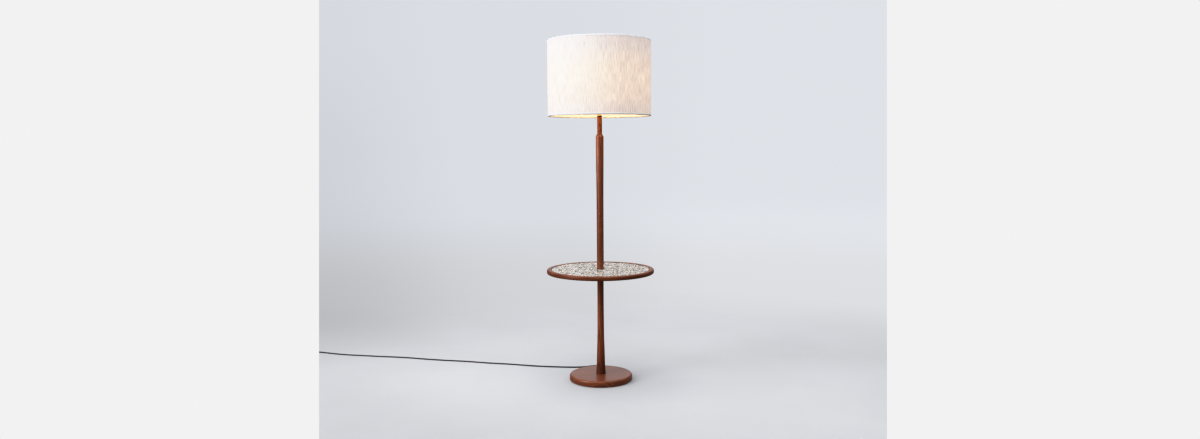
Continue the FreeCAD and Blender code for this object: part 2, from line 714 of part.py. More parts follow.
# ============================================================ saddle and harp
sad = dome0 + d.dome_high                # underside of the saddle strip
b = body_named("harp_saddle")
s = sketch(b, "harp_saddle_strip_sketch", "XZ_Plane")
outline(s, [(-(d.leg_x + 0.75), sad), (d.leg_x + 0.75, sad), (d.leg_x + 0.75, sad + d.strip_thick),
            (-(d.leg_x + 0.75), sad + d.strip_thick)])
pad_feature(b, "harp_saddle_strip", s, 11.0, both=True)
for side, name in ((1, "right"), (-1, "left")):
    s = sketch(b, "harp_saddle_tab_%s_sketch" % name, "XZ_Plane")
    x0, x1 = (d.leg_x - 0.75), (d.leg_x + 0.75)
    if side < 0:
        x0, x1 = -x1, -x0
    outline(s, [(x0, sad + d.strip_thick), (x1, sad + d.strip_thick), (x1, d.tab_top), (x0, d.tab_top)])
    pad_feature(b, "harp_saddle_tab_%s" % name, s, 5.2, both=True)
s = sketch(b, "harp_saddle_hole_sketch", "XY_Plane", sad)
circle(s, 0, 0, d.wood_bore)
cut_feature(b, "harp_saddle_hole", s, length=d.strip_thick, flip=True)
keep(b, "harp_saddle")

lx, eye = d.leg_x.v, (d.hub_low.v + d.hub_high.v) / 2.0
right = [(lx, 0, d.tab_top.v), (lx, 0, 1240.0), (33.5, 0, 1268.0), (48.5, 0, 1300.0), (56.6, 0, 1341.0),
         (57.2, 0, 1388.0), (50.5, 0, 1431.0), (38.0, 0, 1464.0), (22.0, 0, 1486.5), (0, 0, eye)]
bow = right[:-1] + [(-x, y, z) for x, y, z in reversed(right[:-1])]
bow.insert(len(right) - 1, (6.0, 0, eye - 0.6))
bow.insert(len(right), (-6.0, 0, eye - 0.6))
wire = rounded_path(bow, "harp")
tube = sweep_round(wire, d.wire_rad.v, "harp")
eyelet = Part.makeCylinder(d.hub_rad.v, d.hub_high.v - d.hub_low.v, Vector(0, 0, d.hub_low.v))
hole = Part.makeCylinder(d.stud_neck.v + 0.06, 12, Vector(0, 0, d.hub_low.v - 4))
harp = tube.fuse(eyelet).removeSplitter()
trim = Part.makeCylinder(d.stud_seat.v + 3.5, 4, Vector(0, 0, d.hub_high.v)).fuse(
    Part.makeCylinder(d.stud_seat.v - 2.0, 4, Vector(0, 0, d.hub_low.v - 4)))
harp = harp.cut(trim).cut(hole)
keep(feature("harp", harp), "harp")

for side, name in ((-1, "left"), (1, "right")):
    sl = turned("harp_sleeve_" + name, [
        (d.sleeve_bore, d.sleeve_low), (d.sleeve_rad, d.sleeve_low), (d.sleeve_rad, d.sleeve_low + d.sleeve_long),
        (d.sleeve_bore, d.sleeve_low + d.sleeve_long)], place=Placement(Vector(side * d.leg_x.v, 0, 0), Rotation()))
    sl.setExpression("Placement.Base.x", (d.leg_x * side).e)

# stud: swivels in the harp's eye, carries the shade
turned("harp_stud", [
    (0, d.hub_low - 2.0), (4.6, d.hub_low - 2.0), (5.0, d.hub_low - 0.15), (d.stud_neck, d.hub_low - 0.15),
    (d.stud_neck, d.hub_high + 0.15), (d.stud_seat, d.hub_high + 0.15), (d.stud_seat, d.hub_high + 2.5),
    (d.stud_rad, d.hub_high + 2.5), (d.stud_rad, d.stud_top - 0.6), (d.stud_rad - 0.6, d.stud_top),
    (0, d.stud_top)])

# =============================================================== lampholder
cap0 = sad + d.strip_thick
sh = 0.6
turned("socket_cap", [
    (d.tube_rad, cap0), (d.cap_hub, cap0), (d.cap_hub, cap0 + 5.5), (d.cap_hub + 3.0, cap0 + 7.2),
    (d.cap_rad - 1.4, cap0 + 11.5), (d.cap_rad, cap0 + 14.0), (d.cap_rad, cap0 + 22.0),
    (d.cap_rad - sh, cap0 + 22.0), (d.cap_rad - sh, cap0 + 14.3), (d.cap_rad - 2.0, cap0 + 12.3),
    (d.cap_hub + 2.6, cap0 + 8.2), (d.tube_rad + 0.6, cap0 + 7.0), (d.tube_rad, cap0 + 6.4)])

b = body_named("socket_shell")
revolve(b, "socket_shell_turn", [
    (d.shell_rad - 0.5, cap0 + 16.5), (d.shell_rad, cap0 + 16.5), (d.shell_rad, cap0 + 56.0), (d.shell_rad + 0.8, cap0 + 57.0),
    (d.shell_rad, cap0 + 58.5), (d.shell_rad - 0.5, cap0 + 58.5)])
s = sketch(b, "socket_shell_window_sketch", "XZ_Plane")
circle(s, 0, d.switch_z + 3.0, 4.3)
cut_feature(b, "socket_shell_window", s, through=True, flip=True)
keep(b, "socket_shell")

b = body_named("socket_liner")
revolve(b, "socket_liner_turn", [
    (d.liner_rad - 0.7, cap0 + 16.5), (d.liner_rad, cap0 + 16.5), (d.liner_rad, cap0 + 58.0), (d.liner_rad - 0.7, cap0 + 58.0)])
s = sketch(b, "socket_liner_window_sketch", "XZ_Plane")
circle(s, 0, d.switch_z + 3.0, 4.0)
cut_feature(b, "socket_liner_window", s, through=True, flip=True)
keep(b, "socket_liner")

b = body_named("socket_core")
core0 = cap0 + 18.0
revolve(b, "socket_core_turn", [
    (0, core0), (d.core_rad - 1.2, core0), (d.core_rad, core0 + 1.2), (d.core_rad, core0 + 16.0), (0, core0 + 16.0)])
s = sketch(b, "socket_core_switch_sketch", "XZ_Plane")
circle(s, 0, d.switch_z + 3.0, 2.08)
cut_feature(b, "socket_core_switch", s, length=d.core_rad + 1, flip=True)
for side, name in ((1, "right"), (-1, "left")):
    s = sketch(b, "socket_core_tap_%s_sketch" % name, "YZ_Plane")
    circle(s, 0, core0 + 5.0, 1.5)
    cut_feature(b, "socket_core_tap_" + name, s, length=d.core_rad + 1, flip=(side > 0))
keep(b, "socket_core")

thr0 = core0 + 16.0
turned("screw_shell", [
    (0, thr0), (d.thread_rad, thr0), (d.thread_rad, thr0 + 22.5), (d.thread_rad - 0.4, thr0 + 22.5),
    (d.thread_rad - 0.4, thr0 + 0.5), (0, thr0 + 0.5)])

taps = []
for i, side in enumerate((1, -1)):
    turn = Rotation(Vector(0, 1, 0), 90.0 * side)
    head = cyl("terminal_head_%d" % i, 2.6, core0 + 5.0, 2.0, x=d.core_rad * side, axis=turn)
    shank = cyl("terminal_shank_%d" % i, 1.5, core0 + 5.0, 5.5, x=(d.core_rad - 5.5) * side, axis=turn)
    one = fuse("terminal_screw_%d" % i, [head, shank])
    taps.append(one)
keep(group("terminal_screws", taps), "terminal_screws")

# switch shaft and knob, turned about an axis that points to -Y
b = body_named("switch_knob")
revolve(b, "switch_knob_turn", [
    (0, 4.0), (2.0, 4.0), (2.0, d.cap_rad + 3.0), (4.4, d.cap_rad + 3.0), (5.2, d.cap_rad + 4.2), (5.4, d.cap_rad + 15.0),
    (4.4, d.cap_rad + 16.2), (0, d.cap_rad + 16.2)])
s = sketch(b, "switch_knob_flute_sketch", "XY_Plane", d.cap_rad + 5.0)
circle(s, 6.1, 0, 1.15)
p = cut_feature(b, "switch_knob_flute", s, length=14.0, flip=True)
polar(b, "switch_knob_flutes", p, 12)
b.Placement = Placement(Vector(0, 0, d.switch_z.v + 3.0), Rotation(Vector(1, 0, 0), 90))
b.setExpression("Placement.Base.z", (d.switch_z + 3.0).e)
keep(b, "switch_knob")

# lamp: cap with contact, and a glass envelope
bb = thr0 + 0.5
br = d.bulb_base_rad
turned("bulb_base", [
    (0, bb), (4.5, bb), (5.0, bb + 1.2), (9.5, bb + 3.2), (br - 0.6, bb + 4.0), (br, bb + 5.0), (br - 0.6, bb + 6.7),
    (br, bb + 8.4), (br - 0.6, bb + 10.1), (br, bb + 11.8), (br - 0.6, bb + 13.5), (br, bb + 15.2), (br - 0.6, bb + 16.9),
    (br - 0.3, bb + 18.5), (br + 0.2, bb + 25.0), (br - 0.6, bb + 25.0), (br - 1.2, bb + 18.5), (0, bb + 18.5)])
g0 = bb + 25.0
glass = [(br - 1.35, g0 - 3.0), (br - 0.7, g0 + 0.0), (br + 1.6, g0 + 7.0), (br + 6.0, g0 + 17.0), (br + 11.5, g0 + 27.0),
         (d.bulb_rad - 1.8, g0 + 37.0), (d.bulb_rad, g0 + 48.0), (d.bulb_rad - 1.4, g0 + 58.0), (d.bulb_rad - 6.5, g0 + 68.5),
         (d.bulb_rad - 14.5, g0 + 75.5), (d.bulb_rad - 22.5, g0 + 78.4), (0, g0 + 79.0)]
back = [(0, g0 + 77.8), (d.bulb_rad - 22.8, g0 + 77.2), (d.bulb_rad - 15.2, g0 + 74.4), (d.bulb_rad - 7.5, g0 + 67.8),
        (d.bulb_rad - 2.6, g0 + 57.6), (d.bulb_rad - 1.2, g0 + 48.0), (d.bulb_rad - 3.0, g0 + 37.4), (br + 10.4, g0 + 27.6),
        (br + 4.8, g0 + 17.4), (br + 0.4, g0 + 7.3), (br - 1.75, g0 + 0.0), (br - 2.35, g0 - 3.0)]
turned("bulb_glass", glass + back)

# ==================================================================== shade
r3 = d.shade_rad
r2 = r3 - d.tape_thick
r1 = r2 - d.cloth_thick
r0 = r1 - d.liner_thick
lo, hi = d.shade_low, d.shade_high
tt = d.tape_thick
turned("shade_fabric", [(r1, lo + tt), (r2, lo + tt), (r2, hi - tt), (r1, hi - tt)])
turned("shade_liner", [(r0, lo + tt), (r1, lo + tt), (r1, hi - tt), (r0, hi - tt)])
ri = r0 - d.ring_wire * 2            # inner face of the rolled edge
turned("shade_bottom_trim", [
    (ri - tt, lo), (r3, lo), (r3, lo + d.tape_high), (r2, lo + d.tape_high), (r2, lo + tt), (ri, lo + tt),
    (ri, lo + d.tape_high), (ri - tt, lo + d.tape_high)])
turned("shade_top_trim", [
    (ri - tt, hi), (r3, hi), (r3, hi - d.tape_high), (r2, hi - d.tape_high), (r2, hi - tt), (ri, hi - tt),
    (ri, hi - d.tape_high), (ri - tt, hi - d.tape_high)])


def hoop(name, z):
    t = doc.addObject("Part::Torus", name)
    rc = r0 - d.ring_wire
    t.Radius1, t.Radius2 = rc.v, d.ring_wire.v
    t.setExpression("Radius1", rc.e)
    t.setExpression("Radius2", d.ring_wire.e)
    t.Placement = Placement(Vector(0, 0, z.v), Rotation())
    t.setExpression("Placement.Base.z", z.e)
    keep(t, name)


hoop("shade_bottom_ring", lo + tt + d.ring_wire)
hoop("shade_top_ring", hi - tt - d.ring_wire)

# spider: centre washer with three arms that rise to the upper ring
seat = d.hub_high.v + 2.5
thick = 1.5
washer = Part.makeCylinder(12.0, thick, Vector(0, 0, seat)).cut(
    Part.makeCylinder(d.stud_rad.v + 0.15, 6, Vector(0, 0, seat - 2)))
aw = d.arm_wire.v
rc = (r0 - d.ring_wire).v
z_ring = (hi - tt - d.ring_wire).v
z_arm = seat + thick / 2.0
spider = washer
for a in around(3, 90.0):
    ca, sa = math.cos(a), math.sin(a)
    path = [(9.0, z_arm), (rc - 48.0, z_arm + 0.6), (rc - 26.0, z_arm + 5.0), (rc - d.ring_wire.v - 0.6, z_ring - 1.6)]
    w = rounded_path([(x * ca, x * sa, z) for x, z in path], "spider arm")
    spider = spider.fuse(sweep_round(w, aw, "spider arm"))
core = Part.makeCylinder(8.0, 20, Vector(0, 0, seat - 10)).cut(
    Part.makeCylinder(8.0, thick, Vector(0, 0, seat)))
cap_cut = Part.makeCylinder(8.0, 8, Vector(0, 0, seat + thick)).fuse(Part.makeCylinder(8.0, 8, Vector(0, 0, seat - 8)))
spider = spider.cut(cap_cut).removeSplitter()
hoop_solid = Part.makeTorus(rc, d.ring_wire.v, Vector(0, 0, z_ring))
spider = spider.cut(hoop_solid)
keep(feature("shade_spider", spider), "shade_spider")

# finial: brass knob on the stud
f0 = d.hub_high + 2.5 + 1.5 + 0.15
turned("finial", [
    (d.stud_rad + 0.06, f0), (8.0, f0), (8.0, f0 + 2.0), (5.6, f0 + 3.4), (4.9, f0 + 5.6), (6.2, f0 + 7.6), (8.2, f0 + 10.6),
    (9.2, f0 + 14.2), (8.8, f0 + 17.6), (7.0, f0 + 21.0), (4.2, f0 + 23.2), (0, f0 + 24.0), (0, f0 + 13.0),
    (d.stud_rad + 0.06, f0 + 12.4)])

# =================================================================== wiring
la = d.lead_axis.v
tip_y = d.base_rad.v + d.gland_thick.v + d.boot_long.v
low = 5.6
lead_top = cap0.v + 9.9
inner_path = [(0, 0, lead_top), (0, 0, low), (0, 46.0, low), (0, 92.0, la), (0, tip_y, la)]
P = [Vector(*p) for p in inner_path]
bend = 9.8
edges = [Part.LineSegment(P[0], Vector(0, 0, low + bend)).toShape(),
         Part.Arc(Vector(0, 0, low + bend),
                  Vector(0, bend - bend * math.cos(math.pi / 4), low + bend - bend * math.sin(math.pi / 4)),
                  Vector(0, bend, low)).toShape()]
rest = rounded_path([(0, bend, low), (0, 46.0, low), (0, 92.0, la), (0, tip_y, la)], "inner lead in the base")
wire = Part.Wire(edges + rest.Edges)
keep(feature("inner_lead", sweep_round(wire, d.lead_rad.v, "inner lead")), "inner_lead")

# two cores from the lead's end to the terminals
cores = []
tz = core0.v + 5.0
for side in (1, -1):
    pts = [(side * 1.5, 0, lead_top), (side * 1.5, 0, lead_top + 3.4), (side * 4.6, 0, lead_top + 5.4),
           (side * 9.2, 0, lead_top + 6.0), (side * 13.5, 0, lead_top + 6.7), (side * 14.2, 0, tz - 2.75)]
    w = rounded_path(pts, "core")
    cores.append(sweep_round(w, 1.1, "core"))
keep(feature("socket_wires", Part.makeCompound(cores)), "socket_wires")

# free lead along the floor
fz = d.lead_floor.v
cx, cy = d.coil_x.v, d.coil_y.v
route = [
    (0.0, tip_y, la), (0.0, 181.0, la), (-6.2, 196.2, 9.2), (-18.0, 207.4, 7.0), (-34.6, 212.2, 5.1),
    (-57.0, 209.0, 3.7), (-88.0, 198.6, fz), (-128.0, 195.2, fz), (-180.0, 199.6, fz), (-244.0, 208.0, fz),
    (-312.0, 221.0, fz), (-378.0, 239.0, fz), (-444.0, 260.0, fz), (-512.0, 273.0, fz), (-580.0, 291.0, fz),
    (-650.0, 313.0, fz), (-728.0, 329.0, fz), (-808.0, 347.0, fz), (-886.0, 368.0, fz), (-966.0, 394.0, fz),
    (-1048.0, 411.0, fz), (-1132.0, 425.0, fz), (-1214.0, 443.0, fz), (-1296.0, 459.0, fz), (-1372.0, 485.0, fz),
    (-1438.0, 512.0, 3.5), (-1492.0, 527.4, 4.0)]
print("turns at points:")
wire = rounded_path(route, "lead")
keep(feature("lead", sweep_round(wire, d.lead_rad.v, "lead")), "lead")

ro, rin = d.coil_out, d.coil_in
c0, c1 = d.coil_low, d.coil_high
coil = turned("lead_coil", [
    (rin, c0 + 2.5), (rin + 2.5, c0), (ro - 2.5, c0), (ro, c0 + 2.5), (ro, c1 - 2.5), (ro - 2.5, c1), (rin + 2.5, c1), (rin, c1 - 2.5)],
    place=Placement(Vector(cx, cy, 0), Rotation()))
coil.setExpression("Placement.Base.x", d.coil_x.e)
coil.setExpression("Placement.Base.y", d.coil_y.e)

# end of the lead, from the coil's upper outer turn to the plug
tail_x = cx - 39.2
plug_y = cy - 27.0
axis_z = 9.4
tail = [(tail_x, cy - 6.0, axis_z), (tail_x, plug_y, axis_z)]
w = Part.Wire([Part.LineSegment(Vector(*tail[0]), Vector(*tail[1])).toShape()])
keep(feature("lead_tail", sweep_round(w, d.lead_rad.v, "lead tail")), "lead_tail")

# tie round the coil's section, at the front right of the coil
t0, t1, tw = (rin - 1.4), (ro + 1.4), 8.0
tie = minus("coil_tie_band",
            block("coil_tie_out", t0, t1, -tw / 2, tw / 2, 0.1, c1 + 0.9),
            block("coil_tie_in", t0 + 0.9, t1 - 0.9, -tw, tw, c0 - 0.05, c1 + 0.05))
tie.Placement = Placement(Vector(cx, cy, 0), Rotation(Vector(0, 0, 1), -38))
tie.setExpression("Placement.Base.x", d.coil_x.e)
tie.setExpression("Placement.Base.y", d.coil_y.e)
keep(tie, "coil_tie")

# plug: moulded body whose axis points to -Y, with two flat blades
ph = d.plug_half.v


def rounded_section(w, t, y, z, r):
    """Rounded rectangle across the plug's axis at depth y."""
    a, c = w / 2.0, t / 2.0
    pts = []
    for sx, sz, a0 in ((1, 1, 0), (-1, 1, 90), (-1, -1, 180), (1, -1, 270)):
        px, pz = sx * (a - r), sz * (c - r)
        for k in range(2):
            an = math.radians(a0 + 90.0 * k)
            pts.append((px + r * math.cos(an), pz + r * math.sin(an)))
        an = math.radians(a0 + 45.0)
        pts.append((px + r * math.cos(an), pz + r * math.sin(an)))
    edges = []
    n = 4
    for k in range(4):
        p0, p1, pm = pts[3 * k], pts[3 * k + 1], pts[3 * k + 2]
        q0 = pts[(3 * (k + 1)) % 12]
        f = lambda p: Vector(tail_x + p[0], y, z + p[1])
        edges.append(Part.Arc(f(p0), f(pm), f(p1)).toShape())
        edges.append(Part.LineSegment(f(p1), f(q0)).toShape())
    return Part.Wire(edges)


secs = [rounded_section(8.0, 8.0, plug_y, axis_z, 3.9), rounded_section(8.8, 8.8, plug_y - 12.0, axis_z, 4.2),
        rounded_section(17.0, 14.0, plug_y - 19.0, axis_z, 5.4), rounded_section(23.0, 2 * ph, plug_y - 27.0, axis_z, 6.2),
        rounded_section(24.0, 2 * ph, plug_y - 40.0, axis_z, 6.0), rounded_section(22.6, 2 * ph - 1.6, plug_y - 46.0, axis_z, 5.4)]
plug = Part.makeLoft(secs, True, True)
ribs = []
for k in range(3):
    yy = plug_y - 3.0 - 3.2 * k
    ring = Part.makeCylinder(8.0, 1.2, Vector(tail_x, yy, axis_z), Vector(0, -1, 0)).cut(
        Part.makeCylinder(3.5, 1.2, Vector(tail_x, yy, axis_z), Vector(0, -1, 0)))
    ribs.append(ring)
for ring in ribs:
    plug = plug.cut(ring)
slots = []
nose = plug_y - 46.0
for side in (-1, 1):
    slots.append(Part.makeBox(1.6, 9.0, 6.4, Vector(tail_x + side * 6.35 - 0.8, nose, axis_z - 3.2)))
plug = plug.cut(slots[0]).cut(slots[1])
keep(feature("plug_body", plug), "plug_body")

blades = []
for i, side in enumerate((-1, 1)):
    bl = Part.makeBox(1.5, 26.0, 6.3, Vector(tail_x + side * 6.35 - 0.75, nose - 17.0, axis_z - 3.15))
    bl = bl.cut(Part.makeCylinder(1.5, 6, Vector(tail_x + side * 6.35 - 3, nose - 12.0, axis_z), Vector(1, 0, 0)))
    tipe = [e for e in bl.Edges if abs(e.BoundBox.YMax - (nose - 17.0)) < 1e-6 and e.BoundBox.YLength < 1e-6
            and e.BoundBox.XLength > 1]
    bl = bl.makeChamfer(1.2, tipe)
    blades.append(bl)
keep(feature("plug_blades", Part.makeCompound(blades)), "plug_blades")

# ================================================================== checking
doc.recompute()
bad = []
for o in doc.Objects:
    st = list(getattr(o, "State", []))
    if "Invalid" in st or "Error" in st:
        bad.append("%s: %s" % (o.Name, st))
for o in NODES:
    shp = o.Shape
    if shp is None or shp.isNull() or not shp.isValid() or shp.Volume <= 0 or not shp.Solids:
        bad.append("%s: null, invalid or empty" % o.Label)
if bad:
    raise RuntimeError("; ".join(bad))
labels = [o.Label for o in NODES]
if len(set(labels)) != len(labels) or len(labels) > 60:
    raise RuntimeError("labels repeat, or too many")

for o in NODES:
    o.Shape.exportStep("parts/%s.step" % o.Label)
    bb_ = o.Shape.BoundBox
    print("%-20s solids %d  volume %10.1f  x %.1f..%.1f  y %.1f..%.1f  z %.1f..%.1f" % (
        o.Label, len(o.Shape.Solids), o.Shape.Volume, bb_.XMin, bb_.XMax, bb_.YMin, bb_.YMax, bb_.ZMin, bb_.ZMax))
print("%d sub-parts written" % len(NODES))
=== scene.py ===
"""Floor lamp with a round side table. Looks for every piece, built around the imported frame. Metres, +Z up."""

import json
import math
import random

import bmesh
import bpy
import numpy as np
from mathutils import Matrix, Vector

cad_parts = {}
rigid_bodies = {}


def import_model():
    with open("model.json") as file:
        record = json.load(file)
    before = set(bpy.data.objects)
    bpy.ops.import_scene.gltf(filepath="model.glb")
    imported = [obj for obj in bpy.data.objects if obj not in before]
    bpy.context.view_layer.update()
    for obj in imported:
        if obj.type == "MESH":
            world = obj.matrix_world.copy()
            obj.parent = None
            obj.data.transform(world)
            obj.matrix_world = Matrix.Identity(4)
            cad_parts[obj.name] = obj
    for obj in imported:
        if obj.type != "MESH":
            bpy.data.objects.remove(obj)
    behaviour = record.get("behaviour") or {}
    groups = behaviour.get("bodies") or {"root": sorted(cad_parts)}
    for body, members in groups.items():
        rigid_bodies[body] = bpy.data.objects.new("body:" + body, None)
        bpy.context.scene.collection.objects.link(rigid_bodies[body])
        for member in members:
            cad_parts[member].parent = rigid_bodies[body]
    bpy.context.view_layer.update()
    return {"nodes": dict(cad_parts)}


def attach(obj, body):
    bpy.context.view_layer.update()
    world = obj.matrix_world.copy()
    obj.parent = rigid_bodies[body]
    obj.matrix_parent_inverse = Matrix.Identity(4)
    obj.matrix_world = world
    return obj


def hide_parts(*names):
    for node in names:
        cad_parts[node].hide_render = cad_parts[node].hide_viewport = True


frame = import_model()
NODE = frame["nodes"]
scene = bpy.context.scene
TAU = 2 * math.pi

scene.view_settings.view_transform = "Standard"
scene.view_settings.look = "None"
scene.view_settings.exposure = 0.0
scene.view_settings.gamma = 1.0


def response(v):
    """Camera response: a slight toe in the darks and a soft shoulder in the lights."""
    if v < 0.5:
        return v * (v / 0.5) ** 0.25
    if v <= 0.78:
        return v
    return 0.78 + 0.22 * (1.0 - math.exp(-(v - 0.78) / 0.22))


scene.view_settings.use_curve_mapping = True
grade = scene.view_settings.curve_mapping
grade.white_level = (2.4, 2.4, 2.4)
grade.extend = "HORIZONTAL"
tone = grade.curves[3]
tone.points[0].location = (0.0, 0.0)
tone.points[1].location = (1.0, 1.0)
for v in (0.01, 0.03, 0.07, 0.13, 0.22, 0.34, 0.48, 0.64, 0.78, 0.90, 1.02, 1.18, 1.40, 1.75):
    tone.points.new(v / 2.4, response(v))
grade.update()


def link(o):
    scene.collection.objects.link(o)
    return o


# ------------------------------------------------------------------ camera
FOCAL, WIDE, HIGH = 830.7, 1200.0, 439.0          # pixels of the picture
cam_data = bpy.data.cameras.new("camera")
cam = link(bpy.data.objects.new("camera", cam_data))
cam_data.sensor_fit = "HORIZONTAL"
cam_data.sensor_width = 36.0
cam_data.lens = 36.0 * FOCAL / WIDE
cam_data.clip_start, cam_data.clip_end = 0.0005, 80.0
cam_data.dof.use_dof = False
PITCH, ROLL = math.radians(5.07), math.radians(-0.33)
EYE = (-0.0005, -3.7027, 1.0576)
cam.matrix_world = (
    Matrix.Translation(EYE)
    @ Matrix.Rotation(math.pi / 2 - PITCH, 4, "X")
    @ Matrix.Rotation(ROLL, 4, "Z")
)
scene.camera = cam
bpy.context.view_layer.update()


# ---------------------------------------------------------- shader helpers
class Mat:
    """A material and short names for its nodes."""

    def __init__(self, name):
        self.m = bpy.data.materials.new(name)
        self.m.use_nodes = True
        self.t = self.m.node_tree
        self.t.nodes.clear()
        self.out = self.t.nodes.new("ShaderNodeOutputMaterial")
        self._xyz = None

    def put(self, socket, value):
        if value is None:
            return
        if isinstance(value, bpy.types.NodeSocket):
            self.t.links.new(value, socket)
        elif isinstance(value, (tuple, list)) and len(value) == 3 and socket.type == "RGBA":
            socket.default_value = (*value, 1.0)
        else:
            socket.default_value = value

    def node(self, kind, ins=None, out=0, **props):
        n = self.t.nodes.new("ShaderNode" + kind)
        for k, v in props.items():
            setattr(n, k, v)
        for k, v in (ins or {}).items():
            self.put(n.inputs[k], v)
        return n.outputs[out]

    def math(self, op, a, b=None, c=None, clamp=False):
        return self.node("Math", {0: a, 1: b, 2: c}, operation=op, use_clamp=clamp)

    def add(self, a, b):
        return self.math("ADD", a, b)

    def sub(self, a, b):
        return self.math("SUBTRACT", a, b)

    def mul(self, a, b):
        return self.math("MULTIPLY", a, b)

    def place(self):
        return self.node("TexCoord", out=3)

    def uv(self):
        return self.node("UVMap", uv_map="metres")

    def split(self, v):
        n = self.t.nodes.new("ShaderNodeSeparateXYZ")
        self.put(n.inputs[0], v)
        return n.outputs[0], n.outputs[1], n.outputs[2]

    def join(self, x, y, z):
        return self.node("CombineXYZ", {0: x, 1: y, 2: z})

    def noise(self, v, scale=1.0, detail=2.0, rough=0.5, distort=0.0, out=0):
        return self.node("TexNoise", {"Vector": v, "Scale": scale, "Detail": detail, "Roughness": rough,
                                      "Distortion": distort}, out=out)

    def cells(self, v, scale, feature="F1", rand=1.0, out=0):
        return self.node("TexVoronoi", {"Vector": v, "Scale": scale, "Randomness": rand}, out=out, feature=feature)

    def wave(self, v, scale, distort=0.0, detail=2.0, dscale=1.0, profile="SIN", direction="X"):
        return self.node("TexWave", {"Vector": v, "Scale": scale, "Distortion": distort, "Detail": detail,
                                     "Detail Scale": dscale}, out=1, wave_profile=profile, bands_direction=direction)

    def span(self, x, a, b, lo=0.0, hi=1.0, smooth=True):
        return self.node("MapRange", {0: x, 1: a, 2: b, 3: lo, 4: hi},
                         interpolation_type="SMOOTHSTEP" if smooth else "LINEAR", clamp=True)

    def ramp(self, fac, stops, kind="LINEAR"):
        n = self.t.nodes.new("ShaderNodeValToRGB")
        n.color_ramp.interpolation = kind
        while len(n.color_ramp.elements) < len(stops):
            n.color_ramp.elements.new(0.5)
        for e, (at, col) in zip(n.color_ramp.elements, sorted(stops)):
            e.position = at
            e.color = (*col, 1.0) if isinstance(col, (tuple, list)) else (col, col, col, 1.0)
        self.put(n.inputs[0], fac)
        return n.outputs[0]

    def mix(self, fac, a, b, blend="MIX"):
        n = self.t.nodes.new("ShaderNodeMix")
        n.data_type = "RGBA"
        n.blend_type = blend
        self.put(n.inputs[0], fac)
        self.put(n.inputs[6], a)
        self.put(n.inputs[7], b)
        return n.outputs[2]

    def bump(self, height, depth, strength=1.0, normal=None):
        return self.node("Bump", {"Height": height, "Distance": depth, "Strength": strength, "Normal": normal})

    def surface(self, **ins):
        """Principled shader on the output."""
        n = self.t.nodes.new("ShaderNodeBsdfPrincipled")
        for k, v in ins.items():
            self.put(n.inputs[k.replace("_", " ")], v)
        self.t.links.new(n.outputs[0], self.out.inputs[0])
        return self.m


def grey(v):
    return (v, v, v)


